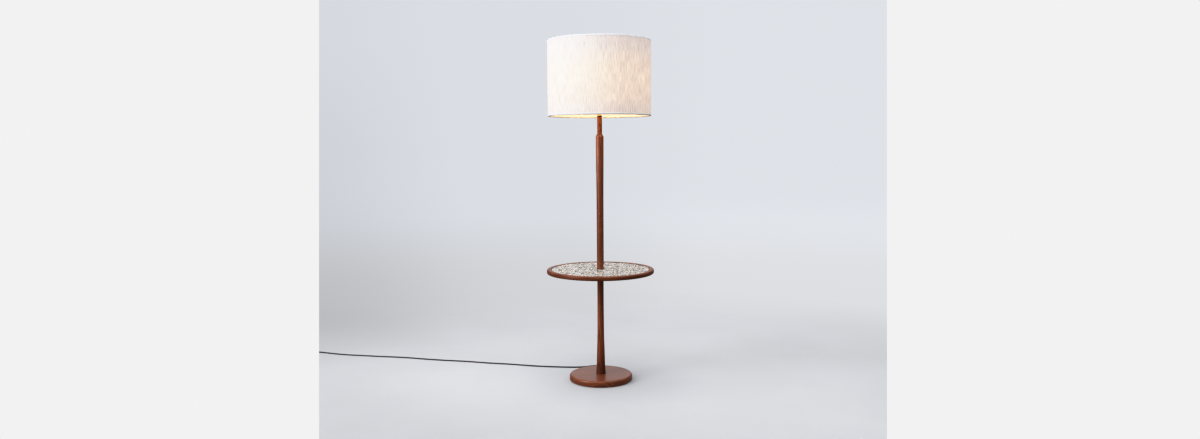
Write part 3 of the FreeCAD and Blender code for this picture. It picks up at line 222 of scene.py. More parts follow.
# ------------------------------------------------------------------- walnut
def walnut(name, grain, seed=0.0, tilt=0.5, wear=None, tint=(1.0, 1.0, 1.0), ring=0.0038, coat=0.16,
           tone_drift_and_painted_light=()):
    """Lacquered walnut. grain is the way the fibres run: z, x, or round for round the object's axis.
    The last argument is a list of (height, height, tint): bands of painted light and painted shade, where the colour is
    multiplied by the tint, bit by bit."""
    m = Mat(name)
    x, y, z = m.split(m.place())
    if grain == "z":
        a, b, run = x, y, z
    elif grain == "x":
        a, b, run = y, z, x
    else:
        a = m.math("SQRT", m.add(m.mul(x, x), m.mul(y, y)))
        b = z
        run = m.mul(m.math("ARCTAN2", x, m.mul(y, -1.0)), 0.23)
    slow = m.join(m.mul(a, 9.0), m.mul(b, 9.0), m.add(m.mul(run, 1.3), seed))
    drift = m.noise(slow, 1.0, 3.0, 0.55)
    w = m.add(m.mul(m.add(m.mul(a, math.cos(tilt)), m.mul(b, math.sin(tilt))), 1.0 / ring), m.mul(drift, 7.5))
    band = m.math("FRACT", w)
    band = m.ramp(band, [(0.0, 0.85), (0.16, 1.0), (0.62, 0.62), (0.90, 0.10), (0.97, 0.18), (1.0, 0.85)], "EASE")
    fibre_at = m.join(m.mul(a, 1.0), m.mul(b, 1.0), m.add(m.mul(run, 0.045), seed))
    fibre = m.noise(fibre_at, 1300.0, 3.0, 0.6)
    streak = m.noise(m.join(a, b, m.add(m.mul(run, 0.05), seed + 3.1)), 210.0, 3.0, 0.6)
    pore_at = m.join(a, b, m.add(m.mul(run, 0.035), seed + 7.7))
    pores = m.span(m.noise(pore_at, 2100.0, 1.0, 0.4), 0.60, 0.70)
    figure = m.add(m.add(m.mul(band, 0.34), m.mul(streak, 0.62)), m.mul(m.sub(fibre, 0.5), 0.42))
    colour = m.ramp(figure, [(0.18, (0.105, 0.0315, 0.0150)), (0.42, (0.215, 0.0680, 0.0285)),
                             (0.62, (0.320, 0.1075, 0.0455)), (0.86, (0.460, 0.1720, 0.0780))])
    cloud = m.noise(m.join(m.mul(a, 14.0), m.mul(b, 14.0), m.add(m.mul(run, 2.6), seed)), 1.0, 2.0, 0.5)
    colour = m.mix(m.span(cloud, 0.35, 0.70, 0.0, 0.45), colour, m.mix(1.0, colour, (0.62, 0.52, 0.52), "MULTIPLY"))
    colour = m.mix(m.mul(pores, 0.55), colour, (0.030, 0.0095, 0.0050))
    colour = m.mix(1.0, colour, tint, "MULTIPLY")
    # painted light and painted shade: the wood made lighter or darker over bands of height
    for lo, hi, shade in tone_drift_and_painted_light:
        colour = m.mix(m.span(z, lo, hi, 0.0, 1.0, False), colour, m.mix(1.0, colour, shade, "MULTIPLY"))
    rough = m.add(m.span(streak, 0.3, 0.7, 0.36, 0.46), m.mul(pores, 0.15))
    if wear is not None:            # places of the lacquer that are rubbed thin, a mask made by the caller
        mask = wear(m, x, y, z)
        colour = m.mix(mask, colour, m.mix(1.0, colour, (1.55, 1.40, 1.30), "MULTIPLY"))
        rough = m.add(rough, m.mul(mask, 0.12))
    ripple = m.noise(m.join(m.mul(a, 60.0), m.mul(b, 60.0), m.mul(run, 60.0)), 1.0, 2.0, 0.5)
    height = m.add(m.mul(pores, -1.0), m.add(m.mul(fibre, 0.30), m.mul(ripple, 0.35)))
    nrm = m.bump(height, 0.00012, 0.55)
    return m.surface(Base_Color=colour, Roughness=rough, Normal=nrm, Coat_Weight=coat, Coat_Roughness=0.16,
                     Coat_IOR=1.5, IOR=1.45, Specular_IOR_Level=0.70, Specular_Tint=(1.0, 0.66, 0.52, 1.0))


def edge_rub(radius, lo, hi):
    """A mask for the rubbed upper edge of a round board."""

    def mask(m, x, y, z):
        r = m.math("SQRT", m.add(m.mul(x, x), m.mul(y, y)))
        out = m.span(r, radius - 0.012, radius - 0.003)
        top = m.span(z, hi - 0.009, hi - 0.004)
        spots = m.span(m.noise(m.join(x, y, z), 45.0, 4.0, 0.6), 0.46, 0.68)
        return m.mul(m.mul(out, top), m.mul(spots, 0.75))

    return mask


M = {}
# painted light on the upper post: lighter towards its top; painted shade: darker at the shoulder on its top
M["walnut"] = walnut("walnut_turned", "z", 0.0, 0.5, tint=(0.82, 0.82, 0.84), coat=0.50,
                     tone_drift_and_painted_light=[(0.60, 1.00, (1.75, 1.75, 1.85)), (1.0965, 1.106, (0.52, 0.52, 0.52))])
# painted light on the lower post: lighter below about 0.3 m, away from the table; painted shade: much darker towards
# the foot where it meets the base
M["walnut_low"] = walnut("walnut_turned_low", "z", 4.3, 1.1, tint=(1.24, 1.24, 1.30),
                         tone_drift_and_painted_light=[(0.38, 0.27, (1.18, 1.16, 1.18)), (0.18, 0.025, (0.27, 0.26, 0.30))])
# painted light: the neck tinted orange, and lighter towards its top, for the lamp's warm light falling on it
M["walnut_neck"] = walnut("walnut_neck", "z", 9.1, 0.2, tint=(1.22, 1.08, 0.55),
                          tone_drift_and_painted_light=[(1.150, 1.186, (1.25, 1.25, 0.90)), (1.172, 1.185, (1.30, 1.26, 1.10))])
M["walnut_base"] = walnut("walnut_base", "x", 2.2, 0.25, edge_rub(0.1415, 0.002, 0.028),
                          (1.00, 0.97, 0.95), ring=0.0062, coat=0.55)
M["walnut_rim"] = walnut("walnut_rim", "round", 6.4, 0.9, edge_rub(0.2402, 0.4885, 0.507),
                         (0.78, 0.71, 0.66), ring=0.0046, coat=0.18)


# ------------------------------------------------------------------- metals
def metal(name, colour, dark, rough=(0.18, 0.34), brush=None, patina=0.35, scale=160.0, coat=0.0):
    """Metal with tarnish in soft patches and fine scratches."""
    m = Mat(name)
    p = m.place()
    x, y, z = m.split(p)
    patch = m.noise(p, scale, 4.0, 0.62, 0.4)
    fine = m.noise(p, scale * 9.0, 2.0, 0.6)
    if brush == "turned":           # lathe marks round the Z axis
        lines = m.noise(m.join(m.mul(x, 40.0), m.mul(y, 40.0), m.mul(z, 2600.0)), 1.0, 2.0, 0.6)
    elif brush == "drawn":          # drawn wire, marks along Z
        lines = m.noise(m.join(m.mul(x, 2400.0), m.mul(y, 2400.0), m.mul(z, 60.0)), 1.0, 2.0, 0.6)
    else:
        lines = m.noise(p, 1900.0, 3.0, 0.7)
    mask = m.mul(m.span(patch, 0.42, 0.70), patina)
    col = m.mix(mask, colour, dark)
    col = m.mix(m.mul(lines, 0.22), col, tuple(c * 0.72 for c in colour))
    r = m.add(m.span(patch, 0.3, 0.75, rough[0], rough[1]), m.mul(m.sub(lines, 0.5), 0.10))
    nrm = m.bump(m.add(m.mul(lines, 0.6), m.mul(fine, 0.4)), 0.00003, 0.6)
    return m.surface(Base_Color=col, Metallic=1.0, Roughness=r, Normal=nrm, Coat_Weight=coat)


M["brass"] = metal("brass_turned", (0.83, 0.56, 0.22), (0.42, 0.235, 0.075), (0.14, 0.30), "turned", 0.5)
M["harp_brass"] = metal("brass_wire", (0.78, 0.53, 0.22), (0.38, 0.22, 0.08), (0.20, 0.36), "drawn", 0.55)
M["zinc_steel"] = metal("zinc_steel", (0.60, 0.61, 0.62), (0.36, 0.35, 0.32), (0.24, 0.42), None, 0.5)
M["aluminium"] = metal("aluminium", (0.80, 0.80, 0.79), (0.50, 0.49, 0.46), (0.22, 0.38), "turned", 0.3)
M["plug_brass"] = metal("blade_brass", (0.80, 0.62, 0.33), (0.50, 0.36, 0.17), (0.18, 0.34), None, 0.35)


def painted(name, colour, chip, rough=0.38, bump=0.00004, chips=0.72):
    """Stoved paint on metal, with a few small rubbed spots."""
    m = Mat(name)
    p = m.place()
    n = m.noise(p, 420.0, 4.0, 0.6)
    big = m.noise(p, 60.0, 3.0, 0.6)
    worn = m.span(m.mul(n, m.add(big, 0.5)), chips, chips + 0.06)
    col = m.mix(m.mul(big, 0.5), colour, tuple(c * 1.9 + 0.004 for c in colour))
    col = m.mix(m.mul(worn, 0.8), col, chip)
    return m.surface(Base_Color=col, Roughness=m.span(n, 0.3, 0.7, rough - 0.07, rough + 0.08),
                     Normal=m.bump(n, bump, 0.5))


M["black_metal"] = painted("black_metal", (0.014, 0.011, 0.009), (0.16, 0.11, 0.06))
M["ring_wire"] = painted("ring_wire", (0.74, 0.73, 0.70), (0.45, 0.44, 0.42), 0.42)


def cast_iron():
    m = Mat("cast_iron")
    p = m.place()
    grain = m.noise(p, 520.0, 5.0, 0.65)
    big = m.noise(p, 38.0, 4.0, 0.6)
    rust = m.span(m.noise(p, 95.0, 4.0, 0.65), 0.58, 0.72, 0.0, 0.45)
    col = m.ramp(grain, [(0.3, grey(0.030)), (0.7, grey(0.078))])
    col = m.mix(rust, col, (0.135, 0.052, 0.020))
    return m.surface(Base_Color=col, Metallic=0.35, Roughness=m.span(big, 0.3, 0.7, 0.62, 0.80),
                     Normal=m.bump(grain, 0.0004, 0.6))


M["cast_iron"] = cast_iron()


# ----------------------------------------------------------------- plastics
def moulded(name, colour, rough=0.42, speck=None, scale=900.0, depth=0.00003, coat=0.0, sheen=0.0):
    m = Mat(name)
    p = m.place()
    fine = m.noise(p, scale, 3.0, 0.6)
    big = m.noise(p, 55.0, 3.0, 0.55)
    col = m.mix(m.span(big, 0.3, 0.7, 0.0, 0.6), colour, tuple(c * 1.5 + 0.003 for c in colour))
    if speck is not None:
        swirl = m.noise(p, 120.0, 5.0, 0.7, 1.8)
        col = m.mix(m.span(swirl, 0.50, 0.66, 0.0, 0.8), col, speck)
    return m.surface(Base_Color=col, Roughness=m.add(m.span(big, 0.3, 0.7, rough - 0.05, rough + 0.07),
                                                     m.mul(m.sub(fine, 0.5), 0.08)),
                     Normal=m.bump(fine, depth, 0.6), Coat_Weight=coat, Sheen_Weight=sheen)


M["black_plastic"] = moulded("black_plastic", (0.016, 0.014, 0.013), 0.48)
M["plug_plastic"] = moulded("plug_plastic", (0.018, 0.014, 0.012), 0.44, depth=0.00005)
M["bakelite"] = moulded("bakelite", (0.040, 0.014, 0.007), 0.26, (0.085, 0.030, 0.012), coat=0.3)
M["wire_jacket"] = moulded("wire_jacket", (0.060, 0.040, 0.028), 0.40)


def lead_jacket():
    """Dark brown vinyl, with the faint ribs of the drawn jacket and a little floor dust."""
    m = Mat("lead_jacket")
    p = m.place()
    fine = m.noise(p, 1500.0, 2.0, 0.6)
    slow = m.noise(p, 22.0, 3.0, 0.6)
    dust = m.span(m.noise(p, 240.0, 4.0, 0.7), 0.52, 0.75, 0.0, 0.30)
    col = m.mix(m.span(slow, 0.35, 0.65), (0.0165, 0.0125, 0.0105), (0.030, 0.0215, 0.0170))
    col = m.mix(dust, col, (0.105, 0.092, 0.082))
    return m.surface(Base_Color=col, Roughness=m.span(fine, 0.3, 0.7, 0.36, 0.50), Normal=m.bump(fine, 0.00003, 0.5),
                     Coat_Weight=0.12, Coat_Roughness=0.3)


M["lead_jacket"] = lead_jacket()


def felt():
    m = Mat("felt")
    p = m.place()
    hair = m.noise(p, 1100.0, 5.0, 0.75, 2.5)
    big = m.noise(p, 60.0, 3.0, 0.6)
    col = m.ramp(hair, [(0.30, (0.020, 0.022, 0.016)), (0.55, (0.052, 0.056, 0.040)), (0.75, (0.095, 0.100, 0.078))])
    col = m.mix(m.mul(big, 0.4), col, (0.045, 0.042, 0.032))
    return m.surface(Base_Color=col, Roughness=0.96, Normal=m.bump(hair, 0.0005, 0.8), Sheen_Weight=0.5,
                     Sheen_Roughness=0.6)


M["felt"] = felt()


def paper():
    m = Mat("insulating_paper")
    p = m.place()
    f = m.noise(p, 900.0, 5.0, 0.75, 1.5)
    col = m.ramp(f, [(0.3, (0.22, 0.15, 0.085)), (0.7, (0.42, 0.31, 0.19))])
    return m.surface(Base_Color=col, Roughness=0.85, Normal=m.bump(f, 0.0001, 0.6))


M["insulating_paper"] = paper()


def plywood():
    """Birch ply: face grain on the flat sides, layers on the edge."""
    m = Mat("plywood")
    x, y, z = m.split(m.place())
    layer = m.math("FLOOR", m.mul(m.sub(z, 0.4907), 700.0))
    odd = m.math("MODULO", layer, 2.0)
    f1 = m.noise(m.join(m.mul(x, 30.0), m.mul(y, 900.0), m.mul(z, 900.0)), 1.0, 4.0, 0.6)
    f2 = m.noise(m.join(m.mul(x, 900.0), m.mul(y, 30.0), m.mul(z, 900.0)), 1.0, 4.0, 0.6)
    figure = m.noise(m.join(m.mul(x, 6.0), m.mul(y, 70.0), m.mul(z, 70.0)), 1.0, 4.0, 0.6, 0.8)
    f = m.mix(odd, f1, f2)
    col = m.ramp(m.add(m.mul(f, 0.55), m.mul(figure, 0.45)), [(0.30, (0.29, 0.165, 0.075)), (0.52, (0.47, 0.31, 0.165)),
                                                             (0.75, (0.60, 0.43, 0.26))])
    col = m.mix(m.mul(odd, 0.45), col, m.mix(1.0, col, (0.62, 0.55, 0.48), "MULTIPLY"))
    return m.surface(Base_Color=col, Roughness=0.66, Normal=m.bump(f, 0.00015, 0.5))


M["plywood"] = plywood()


# ----------------------------------------------------------- tiles and grout
def grout():
    m = Mat("grout")
    p = m.place()
    sand = m.noise(p, 1500.0, 4.0, 0.7)
    lump = m.noise(p, 260.0, 4.0, 0.65)
    stain = m.noise(p, 22.0, 3.0, 0.6)
    col = m.ramp(sand, [(0.30, (0.050, 0.040, 0.034)), (0.60, (0.112, 0.094, 0.080)), (0.80, (0.20, 0.172, 0.150))])
    col = m.mix(m.span(stain, 0.35, 0.65, 0.0, 0.5), col, m.mix(1.0, col, (0.60, 0.55, 0.50), "MULTIPLY"))
    return m.surface(Base_Color=col, Roughness=0.88, Normal=m.bump(m.add(sand, m.mul(lump, 1.6)), 0.0005, 0.7))


def glaze():
    """Glazed stoneware. Each tessera's own tone comes with its vertices; speckle, crackle and bare edges are drawn here."""
    m = Mat("glazed_tiles")
    p = m.place()
    tone = m.node("Attribute", out=0, attribute_name="tone")
    near = m.node("Attribute", out=2, attribute_name="rim")
    speck = m.noise(p, 1700.0, 2.0, 0.5)
    pool = m.noise(p, 260.0, 3.0, 0.6)
    craze = m.cells(p, 620.0, "DISTANCE_TO_EDGE")
    col = m.mix(m.span(pool, 0.30, 0.72, 0.0, 0.55), tone, m.mix(1.0, tone, (0.84, 0.81, 0.77), "MULTIPLY"))
    col = m.mix(m.span(speck, 0.66, 0.74, 0.0, 0.55), col, (0.24, 0.17, 0.11))
    col = m.mix(m.mul(m.span(craze, 0.0, 0.035, 1.0, 0.0), 0.30), col, m.mix(1.0, col, (0.52, 0.45, 0.38), "MULTIPLY"))
    bare = m.span(m.add(near, m.mul(m.sub(pool, 0.5), 0.5)), 0.55, 1.0)
    col = m.mix(m.mul(bare, 0.75), col, m.mix(0.5, m.mix(1.0, col, (0.58, 0.50, 0.43), "MULTIPLY"), (0.27, 0.205, 0.155)))
    wavy = m.noise(p, 330.0, 2.0, 0.5)
    nrm = m.bump(m.add(wavy, m.mul(speck, 0.04)), 0.00007, 0.5)
    return m.surface(Base_Color=col, Roughness=m.add(m.span(pool, 0.3, 0.7, 0.09, 0.15), m.mul(m.math("MAXIMUM", bare, m.span(near, 0.02, 0.4)), 0.60)),
                     Normal=nrm, Specular_IOR_Level=0.80)


M["mortar"] = grout()
M["glazed_tiles"] = glaze()

# ---------------------------------------------------------- linen and liner
LOW, TOP = 1.1875, 1.5180                         # lower and upper edge of the shade
BULB = Vector((0.0, 0.0, 1.3182))


GLOW_Z = 1.342                                   # the liner throws some of the light upwards


def lamp_glow(m, power=2.0):
    """How much of the lamp's light reaches a point of the shade: 1 beside the lamp, less towards the rims."""
    x, y, z = m.split(m.place())
    dz = m.sub(z, GLOW_Z)
    rr = m.add(m.mul(x, x), m.mul(y, y))
    d = m.math("SQRT", m.add(rr, m.mul(dz, dz)))
    return m.math("POWER", m.math("DIVIDE", 0.2278, d), power)


def linen(name, base, glow=1.0, tape=False):
    """Unbleached linen with slubs, laminated on a liner and lit from behind."""
    m = Mat(name)
    u, v, _ = m.split(m.uv())
    warp = m.math("SINE", m.mul(m.add(u, m.mul(m.noise(m.join(m.mul(u, 40.0), m.mul(v, 14.0), 0.0), 1.0, 2.0), 0.0012)),
                                TAU / 0.00086))
    weft = m.math("SINE", m.mul(m.add(v, m.mul(m.noise(m.join(m.mul(u, 14.0), m.mul(v, 40.0), 5.0), 1.0, 2.0), 0.0012)),
                                TAU / 0.00092))
    checker = m.mul(warp, weft)
    thick_u = m.noise(m.join(m.mul(u, 620.0), m.mul(v, 26.0), 1.0), 1.0, 3.0, 0.62)      # warp yarns, vertical
    thick_v = m.noise(m.join(m.mul(u, 20.0), m.mul(v, 640.0), 9.0), 1.0, 3.0, 0.62)      # weft yarns, horizontal
    broad = m.noise(m.join(m.mul(u, 370.0), m.mul(v, 23.0), 4.0), 1.0, 3.0, 0.58)         # groups of thick yarns
    cross = m.noise(m.join(m.mul(u, 64.0), m.mul(v, 300.0), 6.0), 1.0, 2.0, 0.6)         # and of thick weft yarns
    blot = m.noise(m.join(m.mul(u, 34.0), m.mul(v, 16.0), 2.0), 1.0, 2.0, 0.5)
    slub = m.span(thick_u, 0.60, 0.74)
    slub_w = m.span(thick_v, 0.66, 0.78)
    dens = m.add(m.add(m.mul(m.sub(broad, 0.5), 3.0), m.mul(m.sub(blot, 0.5), 0.55)),
                 m.add(m.mul(slub, 0.42), m.add(m.mul(m.sub(cross, 0.5), 0.70), m.mul(slub_w, 0.26))))
    pale, dark = base, tuple(c * k for c, k in zip(base, (0.70, 0.865, 0.905)))
    col = m.mix(m.span(dens, -0.55, 0.85, 0.0, 1.0, False), pale, dark)
    fleck = m.span(m.noise(m.join(m.mul(u, 900.0), m.mul(v, 210.0), 7.0), 1.0, 1.0), 0.72, 0.78)
    col = m.mix(m.mul(fleck, 0.40), col, (0.38, 0.33, 0.29))
    col = m.mix(m.mul(m.span(checker, -1.0, 1.0), 0.12), col, tuple(c * 0.8 for c in base))
    height = m.add(m.mul(checker, 0.35), m.add(m.mul(thick_u, 0.9), m.mul(thick_v, 0.6)))
    nrm = m.bump(height, 0.00016, 0.7)
    # painted light: the emission below stands in for the lamp's light shining through the linen
    shine = m.mul(lamp_glow(m), m.math("MULTIPLY_ADD", dens, -0.62, 1.0))
    _, _, z = m.split(m.place())
    rim = m.span(m.math("ABSOLUTE", m.sub(z, GLOW_Z)), 0.04, 0.18)
    # painted light: the linen lighter and cooler towards the top and, a little, towards the bottom, for the daylight on
    # it
    col = m.mix(m.span(z, 1.36, 1.50), col, m.mix(1.0, col, (1.07, 1.14, 1.21), "MULTIPLY"))
    col = m.mix(m.span(z, 1.27, 1.20), col, m.mix(1.0, col, (1.01, 1.05, 1.08), "MULTIPLY"))
    if tape:                        # the wire ring in the fold stops the light
        edge = m.math("MINIMUM", m.sub(z, LOW), m.sub(TOP, z))
        shine = m.mul(shine, m.mix(m.span(z, 1.3, 1.4), m.span(edge, 0.0020, 0.0070, 0.0, 1.0), m.span(edge, 0.0, 0.0070, 0.62, 1.0)))
        # painted light: the tape's inner face tinted orange for the lamp's light on it
        x, y, _ = m.split(m.place())
        r = m.math("SQRT", m.add(m.mul(x, x), m.mul(y, y)))
        col = m.mix(m.span(r, 0.2252, 0.2240), col, (0.80, 0.66, 0.47))
    warm = m.mix(m.span(dens, -0.55, 0.85, 0.0, 1.0, False), (1.08, 0.735, 0.540), (0.76, 0.650, 0.495))
    warm = m.mix(m.mul(rim, 0.7), warm, (0.98, 0.80, 0.69))
    return m.surface(Base_Color=col, Roughness=0.88, Normal=nrm, Sheen_Weight=0.12, Sheen_Roughness=0.5,
                     Emission_Color=warm, Emission_Strength=m.mul(shine, 0.67 * glow))


M["linen"] = linen("linen", (0.668, 0.578, 0.552))
M["linen_tape"] = linen("linen_tape", (0.760, 0.735, 0.780), 0.9, True)


def liner():
    """White styrene behind the linen. The weave shows through it a little."""
    m = Mat("shade_liner")
    x, y, z = m.split(m.place())
    u = m.mul(m.math("ARCTAN2", x, m.mul(y, -1.0)), 0.2267)
    yarn = m.noise(m.join(m.mul(u, 300.0), m.mul(z, 24.0), 0.0), 1.0, 3.0, 0.6)
    yarn2 = m.noise(m.join(m.mul(u, 24.0), m.mul(z, 300.0), 3.0), 1.0, 3.0, 0.6)
    tone_drift_and_painted_light = m.noise(m.place(), 9.0, 3.0, 0.6)
    col = m.mix(m.span(tone_drift_and_painted_light, 0.35, 0.65), (0.84, 0.80, 0.70), (0.79, 0.73, 0.61))
    col = m.mix(m.mul(m.add(yarn, yarn2), 0.16), col, (0.60, 0.50, 0.36))
    # painted light: the liner glows warm, strongest at the bulb's height, for the lamp's light on it
    lit = m.span(m.math("ABSOLUTE", m.sub(z, BULB.z)), 0.02, 0.20, 1.0, 0.72)
    return m.surface(Base_Color=col, Roughness=0.46, Normal=m.bump(m.add(yarn, yarn2), 0.00006, 0.5),
                     Emission_Color=m.mix(1.0, col, (1.0, 0.66, 0.40), "MULTIPLY"), Emission_Strength=m.mul(lit, 0.62))


M["liner"] = liner()


def bulb_glass():
    """Frosted envelope, lit evenly."""
    m = Mat("bulb_glass")
    frost = m.noise(m.place(), 420.0, 3.0, 0.6)
    return m.surface(Base_Color=(0.86, 0.84, 0.80), Roughness=m.span(frost, 0.3, 0.7, 0.30, 0.44),
                     Normal=m.bump(frost, 0.00003, 0.4), Emission_Color=(1.0, 0.63, 0.285), Emission_Strength=31.0)


M["bulb_glass"] = bulb_glass()
for k in ("linen", "linen_tape", "liner"):        # broad, faint glows: found by chance as well as by aim
    M[k].cycles.emission_sampling = "NONE"


def strap():
    """Woven hook-and-loop strap."""
    m = Mat("strap")
    p = m.place()
    loops = m.cells(p, 1500.0, "F1")
    n = m.noise(p, 700.0, 3.0, 0.6)
    col = m.ramp(loops, [(0.1, (0.045, 0.043, 0.042)), (0.6, (0.016, 0.015, 0.015))])
    col = m.mix(m.mul(n, 0.3), col, (0.07, 0.066, 0.062))
    return m.surface(Base_Color=col, Roughness=0.9, Normal=m.bump(loops, 0.0004, 0.8), Sheen_Weight=0.4)


M["tie"] = strap()

# --------------------------------------- finishes of the pieces kept from CAD
FINISH = {
    "base_felt": "felt", "base_disc": "walnut_base", "base_weight": "cast_iron", "weight_screws": "zinc_steel",
    "base_washer": "zinc_steel", "base_nut": "zinc_steel", "base_gland": "black_plastic",
    "strain_relief": "black_plastic", "lower_post": "walnut_low", "upper_post": "walnut", "neck": "walnut_neck",
    "lamp_tube": "zinc_steel", "neck_ring": "black_metal", "neck_cap": "brass", "table_rim": "walnut_rim", "table_deck": "plywood",
    "mortar_bed": "mortar", "table_tiles": "glazed_tiles", "table_plate": "zinc_steel", "table_screws": "zinc_steel",
    "harp_saddle": "brass", "harp": "harp_brass", "harp_sleeve_left": "brass", "harp_sleeve_right": "brass",
    "harp_stud": "brass", "socket_cap": "brass", "socket_shell": "brass", "socket_liner": "insulating_paper",
    "socket_core": "bakelite", "screw_shell": "aluminium", "terminal_screws": "plug_brass", "switch_knob": "bakelite",
    "bulb_base": "aluminium", "bulb_glass": "bulb_glass", "shade_fabric": "linen", "shade_liner": "liner",
    "shade_bottom_trim": "linen_tape", "shade_top_trim": "linen_tape", "shade_bottom_ring": "ring_wire",
    "shade_top_ring": "ring_wire", "shade_spider": "ring_wire", "finial": "brass", "inner_lead": "lead_jacket",
    "socket_wires": "wire_jacket", "lead": "lead_jacket", "lead_coil": "lead_jacket", "lead_tail": "lead_jacket",
    "coil_tie": "tie", "plug_body": "plug_plastic", "plug_blades": "plug_brass",
}
for name, o in NODE.items():
    mat = M[FINISH[name]]
    if not o.material_slots:
        o.data.materials.append(mat)
    for s in o.material_slots:
        s.material = mat
NODE["bulb_glass"].visible_glossy = False        # its light is soft enough without glints


# ------------------------------------------------------------ mesh helpers
def piece(name, verts, faces, mat, body, smooth=True, sharp=None):
    me = bpy.data.meshes.new(name)
    me.from_pydata([tuple(v) for v in verts], [], faces)
    me.update()
    me.polygons.foreach_set("use_smooth", [smooth] * len(me.polygons))
    if sharp is not None:
        me.set_sharp_from_angle(angle=math.radians(sharp))
    me.materials.append(mat)
    o = link(bpy.data.objects.new(name, me))
    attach(o, body)
    return o


def metres(o, uvs):
    """UV map in metres, one pair for each face corner."""
    layer = o.data.uv_layers.new(name="metres")
    layer.data.foreach_set("uv", np.array(uvs, np.float32).ravel())


def hoop_mesh(profile, angles, shift):
    """A closed profile of (radius, height) points swept round Z. shift(angle, k) moves profile point k outwards."""
    n, k = len(angles), len(profile)
    verts, faces, uvs = [], [], []
    for a in angles:
        for j, (r, z) in enumerate(profile):
            rr = r + shift(a, j)
            verts.append((rr * math.sin(a), -rr * math.cos(a), z))
    run = [0.0]
    for j in range(k):
        p, q = profile[j], profile[(j + 1) % k]
        run.append(run[-1] + math.hypot(q[0] - p[0], q[1] - p[1]))
    mean = sum(p[0] for p in profile) / k
    for i in range(n):
        i2 = (i + 1) % n
        a0, a1 = angles[i], angles[i2] if i2 else angles[0] + TAU
        for j in range(k):
            j2 = (j + 1) % k
            faces.append((i * k + j, i2 * k + j, i2 * k + j2, i * k + j2))
            uvs += [(a0 * mean, run[j]), (a1 * mean, run[j]), (a1 * mean, run[j + 1]), (a0 * mean, run[j + 1])]
    return verts, faces, uvs


# ----------------------------------------------------------------- the lead
MM = 0.001
ROUTE = [
    (0.0, 165.5, 10.5), (0.0, 181.0, 10.5), (-6.2, 196.2, 9.2), (-18.0, 207.4, 7.0), (-34.6, 212.2, 5.1),
    (-57.0, 209.0, 3.7), (-88.0, 198.6, 3.1), (-128.0, 195.2, 3.1), (-180.0, 199.6, 3.1), (-244.0, 208.0, 3.1),
    (-312.0, 221.0, 3.1), (-378.0, 239.0, 3.1), (-444.0, 260.0, 3.1), (-512.0, 273.0, 3.1), (-580.0, 291.0, 3.1),
    (-650.0, 313.0, 3.1), (-728.0, 329.0, 3.1), (-808.0, 347.0, 3.1), (-886.0, 368.0, 3.1), (-966.0, 394.0, 3.1),
    (-1048.0, 411.0, 3.1), (-1132.0, 425.0, 3.1), (-1214.0, 443.0, 3.1), (-1296.0, 459.0, 3.1), (-1372.0, 485.0, 3.1),
    (-1438.0, 512.0, 3.5), (-1492.0, 527.4, 4.0),
]
COIL = (-1512.0, 489.0)
STEPS = 16                                       # points for each turn of the coil


def coil_points():
    """Two turns inwards on the surface, up, and two turns outwards on top of them."""
    out = []
    end = int(round(4.25 * STEPS))
    for i in range(end + 1):
        t = i / STEPS
        if t <= 2.0:
            r, z = 39.25 - 12.3 * t / 2.0, 4.0
        elif t <= 2.25:
            r, z = 26.95, 4.0 + 6.06 * (t - 2.0) / 0.25
        else:
            s = (t - 2.25) / 2.0
            r, z = 26.95 + 12.25 * s, 10.06
        if t > 4.05:
            z = 10.06 - 0.66 * min(1.0, (t - 4.05) / 0.2)
        if 0.0 < t < 4.2:
            r += 0.10 * math.sin(5.1 * t + 0.7) * math.sin(math.pi * min(t, 4.25 - t) / 1.0 if t < 1.0 or t > 3.25 else math.pi / 2)
        r /= math.cos(math.pi / STEPS)
        a = math.pi / 2 + TAU * t
        out.append((COIL[0] + r * math.cos(a), COIL[1] + r * math.sin(a), z))
    return out


TAIL = [(-1551.2, 478.0, 9.4), (-1551.2, 469.0, 9.4), (-1551.2, 460.5, 9.4)]
curve = bpy.data.curves.new("mains_lead", "CURVE")
curve.dimensions = "3D"
line = curve.splines.new("NURBS")
control = [Vector(p) * MM for p in ROUTE + coil_points() + TAIL]
line.points.add(len(control) - 1)
for p, c in zip(line.points, control):
    p.co = (*c, 1.0)
line.order_u = 3
line.use_endpoint_u = True
curve.resolution_u = 8
curve.bevel_depth = 0.003
curve.bevel_resolution = 5
curve.use_fill_caps = True
curve.materials.append(M["lead_jacket"])
mains_lead = link(bpy.data.objects.new("mains_lead", curve))
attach(mains_lead, "stand")
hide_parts("lead", "lead_coil", "lead_tail")


# ----------------------------------------------------- plug on the lead's end
def superellipse(w, t, p, n):
    pts = []
    for i in range(n):
        a = TAU * i / n
        c, s = math.cos(a), math.sin(a)
        pts.append((w / 2 * math.copysign(abs(c) ** (2 / p), c), t / 2 * math.copysign(abs(s) ** (2 / p), s)))
    return pts


